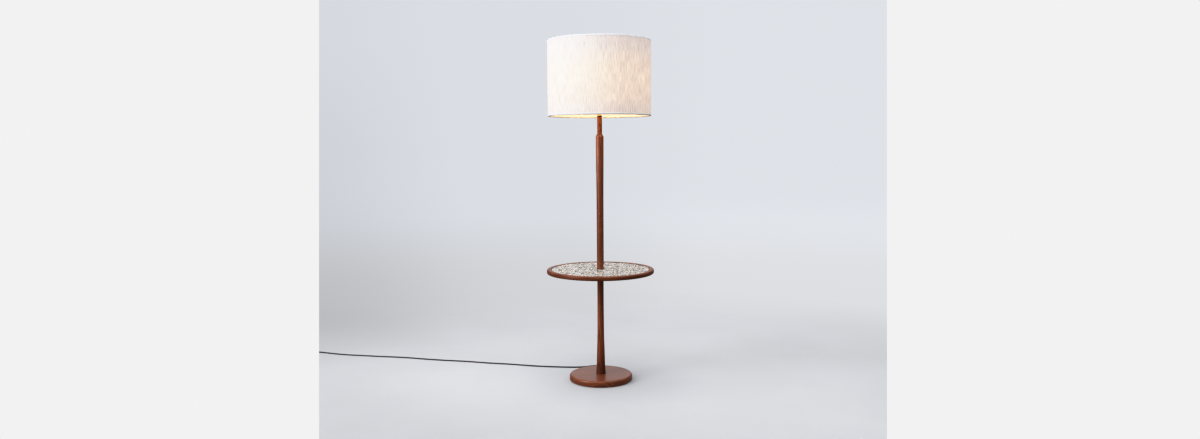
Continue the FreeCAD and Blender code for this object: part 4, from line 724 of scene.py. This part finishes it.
def build_plug():
    x0, z0, y0 = -1551.2, 9.4, 462.0
    n = 48
    rows = []                                    # distance from the rear, width, thickness, squareness
    for k in range(5):                           # the ribbed, flexible tail
        d = 0.4 + 2.45 * k
        rows += [(d - 0.4 if k else 0.0, 7.2, 7.2, 2.0), (d, 8.2 + 0.12 * k, 8.2 + 0.12 * k, 2.0),
                 (d + 1.25, 8.2 + 0.12 * k, 8.2 + 0.12 * k, 2.0), (d + 1.55, 7.1, 7.1, 2.0), (d + 1.95, 7.1, 7.1, 2.0)]
    rows += [(12.6, 8.6, 8.5, 2.0), (14.5, 10.2, 9.6, 2.2), (17.5, 14.2, 12.3, 2.5), (20.5, 18.6, 14.8, 2.9),
             (23.5, 21.6, 16.9, 3.2), (26.0, 22.9, 17.9, 3.4)]
    for k in range(5):                           # grip ridges
        d = 27.2 + 2.3 * k
        rows += [(d, 23.4, 18.3, 3.5), (d + 0.5, 22.5, 17.6, 3.5), (d + 1.1, 22.5, 17.6, 3.5), (d + 1.6, 23.6, 18.3, 3.5)]
    rows += [(39.4, 23.7, 18.2, 3.6), (42.8, 23.3, 17.8, 3.7), (44.9, 22.7, 17.1, 3.7), (45.8, 21.6, 16.1, 3.6),
             (46.0, 20.4, 15.0, 3.5)]
    verts, faces = [], []
    for d, w, t, p in rows:
        for px, pz in superellipse(w, t, p, n):
            verts.append(((x0 + px) * MM, (y0 - d) * MM, (z0 + pz) * MM))
    for i in range(len(rows) - 1):
        for j in range(n):
            j2 = (j + 1) % n
            faces.append((i * n + j, i * n + j2, (i + 1) * n + j2, (i + 1) * n + j))
    faces.append(tuple(reversed(range(n))))
    last = (len(rows) - 1) * n
    faces.append(tuple(last + j for j in range(n)))
    o = piece("mains_plug", verts, faces, M["plug_plastic"], "stand", True, 40)
    bm = bmesh.new()
    bm.from_mesh(o.data)
    bmesh.ops.recalc_face_normals(bm, faces=bm.faces)
    bm.to_mesh(o.data)
    bm.free()
    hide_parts("plug_body")
    return o


mains_plug = build_plug()


# ----------------------------------------------------------- tie on the coil
def build_tie():
    """A strap round the coil's section, with its end lapped over on the outside."""
    t0, t1, z0, z1 = 22.8, 43.2, 0.55, 13.55      # middle of the strap's thickness
    rad, thick, wide = 3.2, 0.85, 8.0
    path = []

    def corner(cx, cz, a0, a1):
        for k in range(7):
            a = math.radians(a0 + (a1 - a0) * k / 6)
            path.append((cx + rad * math.cos(a), cz + rad * math.sin(a)))

    path.append((t1, 5.6))
    corner(t1 - rad, z1 - rad, 0, 90)
    path.append(((t0 + t1) / 2 + 3, z1 + 0.03))
    path.append(((t0 + t1) / 2 - 3, z1 + 0.03))
    corner(t0 + rad, z1 - rad, 90, 180)
    corner(t0 + rad, z0 + rad, 180, 270)
    path.append(((t0 + t1) / 2, z0))
    corner(t1 - rad, z0 + rad, 270, 360)
    path.append((t1 + 0.05, 5.0))
    # the lap lies on the first layer
    path += [(t1 + 0.52, 6.2), (t1 + 0.50, 7.6), (t1 + 0.50, z1 - rad)]
    path += [(t1 - rad + (rad + 0.47) * math.cos(a), z1 - rad + (rad + 0.27) * math.sin(a)) for a in (0.25, 0.55, 0.85)]
    verts, faces = [], []
    rot = math.radians(-38.0)
    ca, sa = math.cos(rot), math.sin(rot)
    n = len(path)
    ring = []
    for i, (u, z) in enumerate(path):
        p, q = Vector(path[max(0, i - 1)]), Vector(path[min(n - 1, i + 1)])
        tan = (q - p).normalized()
        nor = Vector((tan.y, -tan.x))
        half = thick / 2 * (0.55 if i >= n - 9 else 1.0)
        cut = wide / 2 * (0.82 if i == n - 1 else 1.0)
        ids = []
        for side, w in ((1, -cut), (1, -cut + 0.5), (1, cut - 0.5), (1, cut), (-1, cut), (-1, cut - 0.5), (-1, -cut + 0.5), (-1, -cut)):
            h = half * (0.72 if abs(w) == cut else 1.0)
            uu, zz = u + nor.x * h * side, z + nor.y * h * side
            ids.append(len(verts))
            verts.append(((COIL[0] + uu * ca - w * sa) * MM, (COIL[1] + uu * sa + w * ca) * MM, max(zz, 0.12) * MM))
        ring.append(ids)
    for a, b in zip(ring, ring[1:]):
        for j in range(8):
            j2 = (j + 1) % 8
            faces.append((a[j], b[j], b[j2], a[j2]))
    faces.append(tuple(ring[0]))
    faces.append(tuple(reversed(ring[-1])))
    o = piece("lead_tie", verts, faces, M["tie"], "stand", True, 50)
    bm = bmesh.new()
    bm.from_mesh(o.data)
    bmesh.ops.recalc_face_normals(bm, faces=bm.faces)
    bm.to_mesh(o.data)
    bm.free()
    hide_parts("coil_tie")
    return o


lead_tie = build_tie()

# -------------------------------------------------------------------- shade
SEAM = math.radians(196.0)                        # the lap of the linen, at the back
rng = random.Random(11)
WOB = [(k, rng.uniform(-1, 1), rng.uniform(0, TAU)) for k in range(2, 9)]


def wobble(a, size, seed=0.0):
    return size * sum(w * math.sin(k * a + f + seed) for k, w, f in WOB) / 3.0


def shade_cover():
    """Linen sheet, 0.8 mm thick, with its lapped seam."""
    n = 240
    angles = [TAU * i / n for i in range(n)]
    lap = 0.012 / 0.2278
    extra = [SEAM - 0.0004, SEAM, SEAM + lap * 0.5, SEAM + lap, SEAM + lap + 0.004]
    angles = sorted(set(angles) | set(extra))
    z0, z1, m = LOW + 0.0009, TOP - 0.0009, 40
    outer = [(0.22795, z0 + (z1 - z0) * j / m) for j in range(m + 1)]
    inner = [(0.22722, z0 + (z1 - z0) * j / m) for j in range(m, -1, -1)]
    prof = outer + inner

    def shift(a, j):
        if j > m:
            return 0.0
        step = 0.00045 if SEAM <= a <= SEAM + lap else 0.0
        return step + wobble(a, 0.00006, 0.04 * j)

    verts, faces, uvs = hoop_mesh(prof, angles, shift)
    o = piece("shade_cover", verts, faces, M["linen"], "shade", True, 35)
    metres(o, uvs)
    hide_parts("shade_fabric")
    return o


def hem(name, node, edge, sign):
    """The folded edge: linen wrapped round the wire ring and glued down inside and out. sign is +1 at the lower edge."""
    def z(h):
        return edge + sign * h

    ro, ri = 0.2286, 0.2226
    prof = [(0.22798, z(0.0072)), (ro - 0.00022, z(0.0071)), (ro, z(0.0066)), (ro, z(0.0045)), (ro, z(0.0028))]
    c = (ro + ri) / 2
    for k in range(13):
        a = math.pi * k / 12
        prof.append((c + (ro - c) * math.cos(a), z(0.0024 - 0.0024 * math.sin(a))))
    prof += [(ri, z(0.0045)), (ri, z(0.0066)), (ri + 0.0002, z(0.0071)), (ri + 0.00062, z(0.0072)), (ri + 0.00066, z(0.0040)),
             (ri + 0.0008, z(0.0024)), (ri + 0.0017, z(0.0012)), (c, z(0.0007)), (ro - 0.0017, z(0.0012)),
             (ro - 0.0008, z(0.0024)), (0.22800, z(0.0040))]
    n = 300
    angles = [TAU * i / n for i in range(n)]
    r2 = random.Random(int(edge * 1000))
    waves = [(r2.randint(14, 64), r2.uniform(0.3, 1.0), r2.uniform(0, TAU)) for _ in range(9)]

    def shift(a, j):
        if j in (0,) or j > 20:
            return 0.0
        pucker = sum(w * math.sin(k * a + f) for k, w, f in waves) / 5.0
        return -0.00007 * (1.0 + min(1.0, max(-1.0, pucker)))

    verts, faces, uvs = hoop_mesh(prof, angles, shift)
    if sign < 0:
        faces = [tuple(reversed(f)) for f in faces]
        uvs = [uvs[4 * (i // 4) + 3 - i % 4] for i in range(len(uvs))]
    o = piece(name, verts, faces, M["linen_tape"], "shade", True, 50)
    metres(o, uvs)
    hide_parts(node)
    return o


cover = shade_cover()
hem_low = hem("shade_hem_bottom", "shade_bottom_trim", LOW, 1)
hem_top = hem("shade_hem_top", "shade_top_trim", TOP, -1)


# ------------------------------------------------------------------- mosaic
def clip(poly, nx, ny, c):
    """The part of a convex polygon where nx*x + ny*y <= c."""
    out = []
    for i in range(len(poly)):
        p, q = poly[i], poly[(i + 1) % len(poly)]
        dp, dq = nx * p[0] + ny * p[1] - c, nx * q[0] + ny * q[1] - c
        if dp <= 0:
            out.append(p)
        if dp * dq < 0:
            t = dp / (dp - dq)
            out.append((p[0] + t * (q[0] - p[0]), p[1] + t * (q[1] - p[1])))
    return out


def area_centre(poly):
    a = cx = cy = 0.0
    for i in range(len(poly)):
        (x0, y0), (x1, y1) = poly[i], poly[(i + 1) % len(poly)]
        w = x0 * y1 - x1 * y0
        a += w / 2
        cx += (x0 + x1) * w / 6
        cy += (y0 + y1) * w / 6
    return abs(a), ((cx / a, cy / a) if abs(a) > 1e-12 else poly[0])


def tesserae(r_out, r_in, rnd):
    """Irregular convex pieces that fill a ring, as cut by hand: loose clusters, each split by odd cuts."""
    seeds = []
    tries = 0
    while tries < 9000:
        tries += 1
        a, r = rnd.uniform(0, TAU), r_out * math.sqrt(rnd.random())
        p = (r * math.cos(a), r * math.sin(a))
        if all((p[0] - q[0]) ** 2 + (p[1] - q[1]) ** 2 > 0.029 ** 2 for q in seeds):
            seeds.append(p)
    disc = [(r_out * math.cos(TAU * i / 128), r_out * math.sin(TAU * i / 128)) for i in range(128)]
    found = []
    for i, p in enumerate(seeds):
        cell = [(p[0] + dx, p[1] + dy) for dx, dy in ((-.07, -.07), (.07, -.07), (.07, .07), (-.07, .07))]
        for j, q in enumerate(seeds):
            if i != j and math.hypot(p[0] - q[0], p[1] - q[1]) < 0.12:
                nx, ny = q[0] - p[0], q[1] - p[1]
                cell = clip(cell, nx, ny, (q[0] ** 2 + q[1] ** 2 - p[0] ** 2 - p[1] ** 2) / 2)
        for k in range(128):                      # the round border
            a = TAU * (k + 0.5) / 128
            cell = clip(cell, math.cos(a), math.sin(a), r_out * math.cos(math.pi / 128))
            if len(cell) < 3:
                break
        if len(cell) < 3:
            continue
        todo = [cell]
        while todo:
            poly = todo.pop()
            if len(poly) < 3:
                continue
            a, c = area_centre(poly)
            if a < 2.2e-5:
                continue
            limit = 2.35e-4 * rnd.uniform(0.62, 1.45)
            if a <= limit:
                found.append(poly)
                continue
            # cut across the longest way, a little askew
            far = max(((p, q) for p in poly for q in poly), key=lambda s: (s[0][0] - s[1][0]) ** 2 + (s[0][1] - s[1][1]) ** 2)
            ang = math.atan2(far[1][1] - far[0][1], far[1][0] - far[0][0]) + rnd.uniform(-0.42, 0.42)
            off = rnd.uniform(-0.14, 0.14) * math.hypot(far[1][0] - far[0][0], far[1][1] - far[0][1])
            nx, ny = math.cos(ang), math.sin(ang)
            cc = nx * c[0] + ny * c[1] + off
            todo += [clip(poly, nx, ny, cc), clip(poly, -nx, -ny, -cc)]
    out = []
    for poly in found:
        a, c = area_centre(poly)
        d = math.hypot(*c)
        if d < r_in + 0.002:
            continue
        if min(math.hypot(*p) for p in poly) < r_in + 0.004:
            poly = clip(poly, -c[0] / d, -c[1] / d, -(r_in + 0.0004))
        gap = rnd.uniform(0.00072, 0.00135)
        small = poly
        m = len(poly)
        for k in range(m):
            (x0, y0), (x1, y1) = poly[k], poly[(k + 1) % m]
            ln = math.hypot(x1 - x0, y1 - y0)
            if ln < 1e-7:
                continue
            nx, ny = (y1 - y0) / ln, -(x1 - x0) / ln
            small = clip(small, nx, ny, nx * x0 + ny * y0 - gap)
            if len(small) < 3:
                break
        if len(small) >= 3 and area_centre(small)[0] > 1.6e-5:
            out.append(small)
    return out


def eased(poly, r, rnd):
    """Corners nipped off, as on hand-cut pieces."""
    pts = []
    n = len(poly)
    for i in range(n):
        p, c, q = Vector(poly[i - 1]), Vector(poly[i]), Vector(poly[(i + 1) % n])
        a, b = p - c, q - c
        la, lb = a.length, b.length
        if la < 1e-5 or lb < 1e-5:
            continue
        ra, rb = min(r * rnd.uniform(0.6, 1.3), la * 0.36), min(r * rnd.uniform(0.6, 1.3), lb * 0.36)
        turn = a.normalized().dot(b.normalized())
        if turn < -0.985:                         # nearly straight: the border's own points
            pts.append(tuple(c))
            continue
        s, e = c + a.normalized() * ra, c + b.normalized() * rb
        mid = (s + e) * 0.25 + c * 0.5
        pts += [tuple(s), tuple(mid), tuple(e)]
    clean = []
    for p in pts:
        if not clean or math.hypot(p[0] - clean[-1][0], p[1] - clean[-1][1]) > 1.2e-4:
            clean.append(p)
    if len(clean) > 3 and math.hypot(clean[0][0] - clean[-1][0], clean[0][1] - clean[-1][1]) < 1.2e-4:
        clean.pop()
    return clean


PALETTE = [  # share, colour
    (0.37, (0.83, 0.815, 0.785)), (0.25, (0.77, 0.740, 0.695)), (0.11, (0.62, 0.585, 0.55)), (0.08, (0.60, 0.545, 0.485)),
    (0.08, (0.36, 0.315, 0.28)), (0.06, (0.18, 0.135, 0.105)), (0.05, (0.075, 0.055, 0.045)),
]


def build_mosaic():
    rnd = random.Random(2027)
    cells = tesserae(0.2187, 0.0159, rnd)
    verts, faces, tone, rim = [], [], [], []
    for poly in cells:
        base = eased(poly, 0.0011, rnd)
        if len(base) < 3:
            continue
        _, c = area_centre(base)
        pick, col = rnd.random(), PALETTE[0][1]
        for share, shade in PALETTE:
            if pick < share:
                col = shade
                break
            pick -= share
        k = rnd.uniform(0.90, 1.07)
        w = rnd.uniform(-0.03, 0.03)
        col = (min(0.86, col[0] * k * (1 + w)), min(0.85, col[1] * k), min(0.84, col[2] * k * (1 - w)))
        top = 0.50556 + rnd.uniform(-0.00022, 0.00028)
        tx, ty = rnd.gauss(0, 0.012), rnd.gauss(0, 0.012)
        size = max(math.hypot(p[0] - c[0], p[1] - c[1]) for p in base)
        rows = [(0.0, 0.5024, 1.0, True), (0.0, top - 0.00075, 1.0, False), (0.00012, top - 0.00040, 1.0, False),
                (0.00038, top - 0.00014, 0.85, False), (0.00085, top - 0.00003, 0.45, False),
                (0.00190, top + 0.00003, 0.05, False)]
        start = len(verts)
        n = len(base)
        for inset, z, edge, flat in rows:
            s = max(0.12, 1.0 - inset / max(size * 0.62, 1e-5))
            for p in base:
                x, y = c[0] + (p[0] - c[0]) * s, c[1] + (p[1] - c[1]) * s
                zz = z if flat else min(z + tx * (x - c[0]) + ty * (y - c[1]), 0.50618)
                verts.append((x, y, zz))
                tone.append(col)
                rim.append(edge)
        verts.append((c[0], c[1], min(top + 0.00008, 0.50618)))
        tone.append(col)
        rim.append(0.0)
        mid = len(verts) - 1
        for i in range(len(rows) - 1):
            for j in range(n):
                j2 = (j + 1) % n
                a = start + i * n
                faces.append((a + j, a + j2, a + n + j2, a + n + j))
        a = start + (len(rows) - 1) * n
        for j in range(n):
            faces.append((a + j, a + (j + 1) % n, mid))
        faces.append(tuple(start + j for j in reversed(range(n))))
    o = piece("mosaic_tiles", verts, faces, M["glazed_tiles"], "stand", True, 60)
    at = o.data.attributes.new("tone", "FLOAT_COLOR", "POINT")
    at.data.foreach_set("color", np.array([(*c, 1.0) for c in tone], np.float32).ravel())
    at = o.data.attributes.new("rim", "FLOAT", "POINT")
    at.data.foreach_set("value", np.array(rim, np.float32))
    bm = bmesh.new()
    bm.from_mesh(o.data)
    bmesh.ops.recalc_face_normals(bm, faces=bm.faces)
    bm.to_mesh(o.data)
    bm.free()
    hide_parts("table_tiles")
    print("tesserae:", len(cells))
    return o


def build_grout():
    """The joints: a shallow bed between the pieces, higher at the rim and round the post."""
    rnd = random.Random(5)
    n, rings = 220, 46
    r0, r1 = 0.01595, 0.21915
    verts, faces = [], []
    hills = [(rnd.uniform(90, 520), rnd.uniform(0, TAU), rnd.uniform(0, TAU)) for _ in range(10)]

    def height(x, y, r):
        h = 0.50462 + 0.00010 * sum(math.sin(k * (x * math.cos(d) + y * math.sin(d)) + f) for k, d, f in hills) / 3.0
        h += 0.00045 * math.exp(-(r1 - r) / 0.0012) + 0.0004 * math.exp(-(r - r0) / 0.0012)
        return h

    for i in range(rings + 1):
        t = i / rings
        r = r0 + (r1 - r0) * t
        if i == 1:
            r = r0 + 0.0008
        if i == rings - 1:
            r = r1 - 0.0008
        for j in range(n):
            a = TAU * j / n
            x, y = r * math.cos(a), r * math.sin(a)
            verts.append((x, y, height(x, y, r)))
    low = len(verts)
    for r in (r0, r1):
        for j in range(n):
            a = TAU * j / n
            verts.append((r * math.cos(a), r * math.sin(a), 0.50221))
    for i in range(rings):
        for j in range(n):
            j2 = (j + 1) % n
            faces.append((i * n + j, (i + 1) * n + j, (i + 1) * n + j2, i * n + j2))
    for j in range(n):
        j2 = (j + 1) % n
        faces.append((low + j, j, j2, low + j2))
        faces.append((rings * n + j, low + n + j, low + n + j2, rings * n + j2))
        faces.append((low + j, low + j2, low + n + j2, low + n + j))
    o = piece("mosaic_grout", verts, faces, M["mortar"], "stand", True, 40)
    bm = bmesh.new()
    bm.from_mesh(o.data)
    bmesh.ops.recalc_face_normals(bm, faces=bm.faces)
    bm.to_mesh(o.data)
    bm.free()
    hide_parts("table_tiles")
    return o


mosaic = build_mosaic()
joints = build_grout()

# The small bright fittings round the lamp would only add sparks to what other surfaces gather.
for o in scene.objects:
    if o.type in ("MESH", "CURVE") and o.name != "bulb_glass":
        box = [o.matrix_world @ Vector(c) for c in o.bound_box]
        if min(c.z for c in box) > 1.17 and max(math.hypot(c.x, c.y) for c in box) < 0.12:
            o.visible_diffuse = o.visible_glossy = False


# ------------------------------------------------- stage, lights and surround
PALE = (0.700, 0.728, 0.775)                      # the backdrop


def margin(name, x0, x1):
    """A blank margin of the picture: a tiny bright card right in front of the lens."""
    d = 0.0016
    y0, y1 = -(HIGH / 2 + 60) / FOCAL * d, (HIGH / 2 + 60) / FOCAL * d
    a, b = (x0 - WIDE / 2) / FOCAL * d, (x1 - WIDE / 2) / FOCAL * d
    me = bpy.data.meshes.new(name)
    me.from_pydata([(a, y0, -d), (b, y0, -d), (b, y1, -d), (a, y1, -d)], [], [(0, 1, 2, 3)])
    me.update()
    m = Mat(name)
    e = m.node("Emission", {0: (0.9290, 0.9290, 0.9290), 1: 1.0})
    m.t.links.new(e, m.out.inputs[0])
    me.materials.append(m.m)
    o = link(bpy.data.objects.new(name, me))
    o.matrix_world = (
        Matrix.Translation(EYE)
        @ Matrix.Rotation(math.pi / 2 - PITCH, 4, "X")
        @ Matrix.Rotation(ROLL, 4, "Z")
    )
    o.visible_diffuse = o.visible_glossy = o.visible_transmission = o.visible_shadow = False
    o.visible_volume_scatter = False
    return o


margin("margin_left", -80.0, 319.0)
margin("margin_right", 887.0, 1280.0)


def floor():
    n = 96
    r = 90.0
    me = bpy.data.meshes.new("floor")
    me.from_pydata([(r * math.cos(TAU * i / n), r * math.sin(TAU * i / n), -0.0002) for i in range(n)], [], [tuple(range(n))])
    me.update()
    m = Mat("floor")
    p = m.place()
    x, y, z = m.split(p)
    d = m.math("SQRT", m.add(m.mul(x, x), m.mul(y, y)))
    soft = m.noise(p, 2.2, 3.0, 0.55)
    fine = m.noise(p, 160.0, 3.0, 0.6)
    col = m.mix(m.span(soft, 0.35, 0.65), (0.660, 0.668, 0.686), (0.640, 0.647, 0.664))
    n1 = m.t.nodes.new("ShaderNodeBsdfPrincipled")
    m.put(n1.inputs["Roughness"], 0.62)
    m.put(n1.inputs["Specular IOR Level"], 0.25)
    m.put(n1.inputs["Normal"], m.bump(fine, 0.0002, 0.3))
    # painted shade: the floor darker towards the front and the left
    near = m.span(m.add(m.mul(x, -0.5), m.mul(y, -1.0)), 0.0, 1.4, 0.0, 0.28)
    col = m.mix(near, col, (0.0, 0.0, 0.0))
    # painted shade and painted light on the floor and its far glow: darker on the left, lighter on the right, and a
    # soft painted shadow in a band behind the lamp
    away = m.math("MAXIMUM", m.add(y, 3.7), 0.3)
    slant = m.math("DIVIDE", x, m.math("SQRT", m.add(m.mul(x, x), m.mul(away, away))))
    steep = m.math("DIVIDE", 1.06, away)
    aside = m.span(slant, -0.95, -0.50)
    painted_shade_left = m.mul(m.span(slant, -0.05, -0.31), m.mul(m.span(steep, 0.03, 0.22), m.span(steep, 0.42, 0.22)))
    painted_shade_left = m.mul(m.mul(painted_shade_left, aside), 0.13)
    left = m.mul(m.mul(m.span(slant, -0.14, -0.36), aside), m.span(steep, 0.28, 0.20, 0.0, 0.12))
    right = m.mul(m.mul(m.span(slant, -0.05, 0.15), m.span(slant, 0.95, 0.50)),
                  m.mul(m.span(steep, 0.04, 0.13, 0.045, 0.105), m.span(steep, 0.28, 0.21)))
    wide = m.span(m.math("ABSOLUTE", x), 3.2, 1.3)
    band = m.mul(m.mul(m.span(steep, 0.190, 0.225), m.span(steep, 0.285, 0.255)), m.mul(wide, 0.06))
    light = m.mul(m.mul(m.sub(1.0, painted_shade_left), m.sub(1.0, left)), m.mul(m.add(1.0, right), m.sub(1.0, band)))
    col = m.mix(1.0, col, light, "MULTIPLY")
    m.put(n1.inputs["Base Color"], col)
    pale = m.mix(m.span(d, 2.4, 9.0), (0.655, 0.664, 0.688), PALE)
    e = m.node("Emission", {0: m.mix(1.0, pale, light, "MULTIPLY"), 1: 1.0})
    far = m.span(d, 1.0, 2.6)
    mixed = m.node("MixShader", {0: far, 1: n1.outputs[0], 2: e})
    m.t.links.new(mixed, m.out.inputs[0])
    me.materials.append(m.m)
    o = link(bpy.data.objects.new("floor", me))
    o.visible_diffuse = o.visible_glossy = False


floor()

world = bpy.data.worlds.new("studio")
scene.world = world
world.use_nodes = True
wt = world.node_tree
wt.nodes.clear()


def wn(kind, ins=None, out=0, **props):
    n = wt.nodes.new("ShaderNode" + kind)
    for k, v in props.items():
        setattr(n, k, v)
    for k, v in (ins or {}).items():
        if isinstance(v, bpy.types.NodeSocket):
            wt.links.new(v, n.inputs[k])
        elif isinstance(v, tuple) and n.inputs[k].type == "RGBA":
            n.inputs[k].default_value = (*v, 1.0)
        else:
            n.inputs[k].default_value = v
    return n.outputs[out]


def wmix(f, a, b):
    n = wt.nodes.new("ShaderNodeMix")
    n.data_type = "RGBA"
    for i, v in ((0, f), (6, a), (7, b)):
        if isinstance(v, bpy.types.NodeSocket):
            wt.links.new(v, n.inputs[i])
        elif isinstance(v, tuple):
            n.inputs[i].default_value = (*v, 1.0)
        else:
            n.inputs[i].default_value = v
    return n.outputs[2]


def wspan(v, a, b):
    return wn("MapRange", {0: v, 1: a, 2: b, 3: 0.0, 4: 1.0}, interpolation_type="SMOOTHSTEP")


coord = wn("TexCoord", out=0)
sep = wt.nodes.new("ShaderNodeSeparateXYZ")
wt.links.new(coord, sep.inputs[0])
wx, wy, wz = sep.outputs
around = wmix(wspan(wy, -0.25, 0.55), (0.16, 0.165, 0.175), (0.52, 0.54, 0.58))    # dim in front, pale behind
around = wmix(wspan(wx, -0.6, 0.35), around, (0.070, 0.073, 0.080))                   # and darker to the right
around = wmix(wspan(wz, 0.0, -0.25), around, (0.17, 0.172, 0.18))                     # the ground's share
dome = wmix(wspan(wz, 0.12, 0.75), around, (0.86, 0.87, 0.90))
lights = wn("Background", {0: dome, 1: 1.0})
ahead = wspan(wy, 0.0, 0.30)                                                            # the backdrop's own shading
left = wn("Math", {0: wspan(wx, -0.14, -0.36), 1: wspan(wx, -0.95, -0.50)}, operation="MULTIPLY")
left = wn("Math", {0: left, 1: wn("MapRange", {0: wz, 1: 0.12, 2: 0.0, 3: 0.050, 4: 0.12})}, operation="MULTIPLY")
right = wn("Math", {0: wspan(wx, -0.05, 0.15), 1: wspan(wx, 0.95, 0.50)}, operation="MULTIPLY")
right = wn("Math", {0: right, 1: 0.045}, operation="MULTIPLY")
shift = wn("Math", {0: right, 1: left}, operation="SUBTRACT")
shift = wn("Math", {0: shift, 1: ahead, 2: 1.0}, operation="MULTIPLY_ADD")
seen = wn("Background", {0: PALE, 1: shift})
side = wn("Math", {0: wx}, operation="ABSOLUTE")
straight = wn("Math", {0: wspan(side, 0.42, 0.20), 1: wspan(wy, 0.0, 0.5)}, operation="MULTIPLY")
straight = wn("Math", {0: straight, 1: wspan(wz, 0.03, 0.10)}, operation="MULTIPLY")    # not beside a standing edge
gloss = wmix(straight, (0.17, 0.173, 0.18), (0.64, 0.66, 0.70))                         # what shiny surfaces see
gloss = wmix(wspan(wz, 0.30, 0.75), gloss, (0.60, 0.61, 0.63))
mirror = wn("Background", {0: gloss, 1: 1.0})
is_seen, is_gloss = wn("LightPath", out=0), wn("LightPath", out=3)
soft = wn("MixShader", {0: is_gloss, 1: lights, 2: mirror})
both = wn("MixShader", {0: is_seen, 1: soft, 2: seen})
wo = wt.nodes.new("ShaderNodeOutputWorld")
wt.links.new(both, wo.inputs[0])


def window(name, at, to, wide, high, watts, colour, spread=180.0):
    ld = bpy.data.lights.new(name, "AREA")
    ld.shape = "RECTANGLE"
    ld.size, ld.size_y = wide, high
    ld.energy = watts
    ld.color = colour
    o = link(bpy.data.objects.new(name, ld))
    o.location = at
    o.rotation_mode = "QUATERNION"
    o.rotation_quaternion = (Vector(to) - Vector(at)).to_track_quat("-Z", "Y")
    o.visible_camera = False
    return o


window("window_left", (-3.1, -1.65, 1.75), (0.0, 0.0, 0.95), 1.7, 2.3, 72.0, (0.965, 0.975, 1.0))
window("window_right", (2.3, -2.6, 1.5), (0.0, 0.0, 0.9), 0.8, 1.8, 3.0, (0.97, 0.985, 1.0))
window("ceiling", (-0.4, -0.4, 3.2), (0.0, 0.0, 0.0), 3.2, 3.2, 44.0, (1.0, 0.995, 0.985))
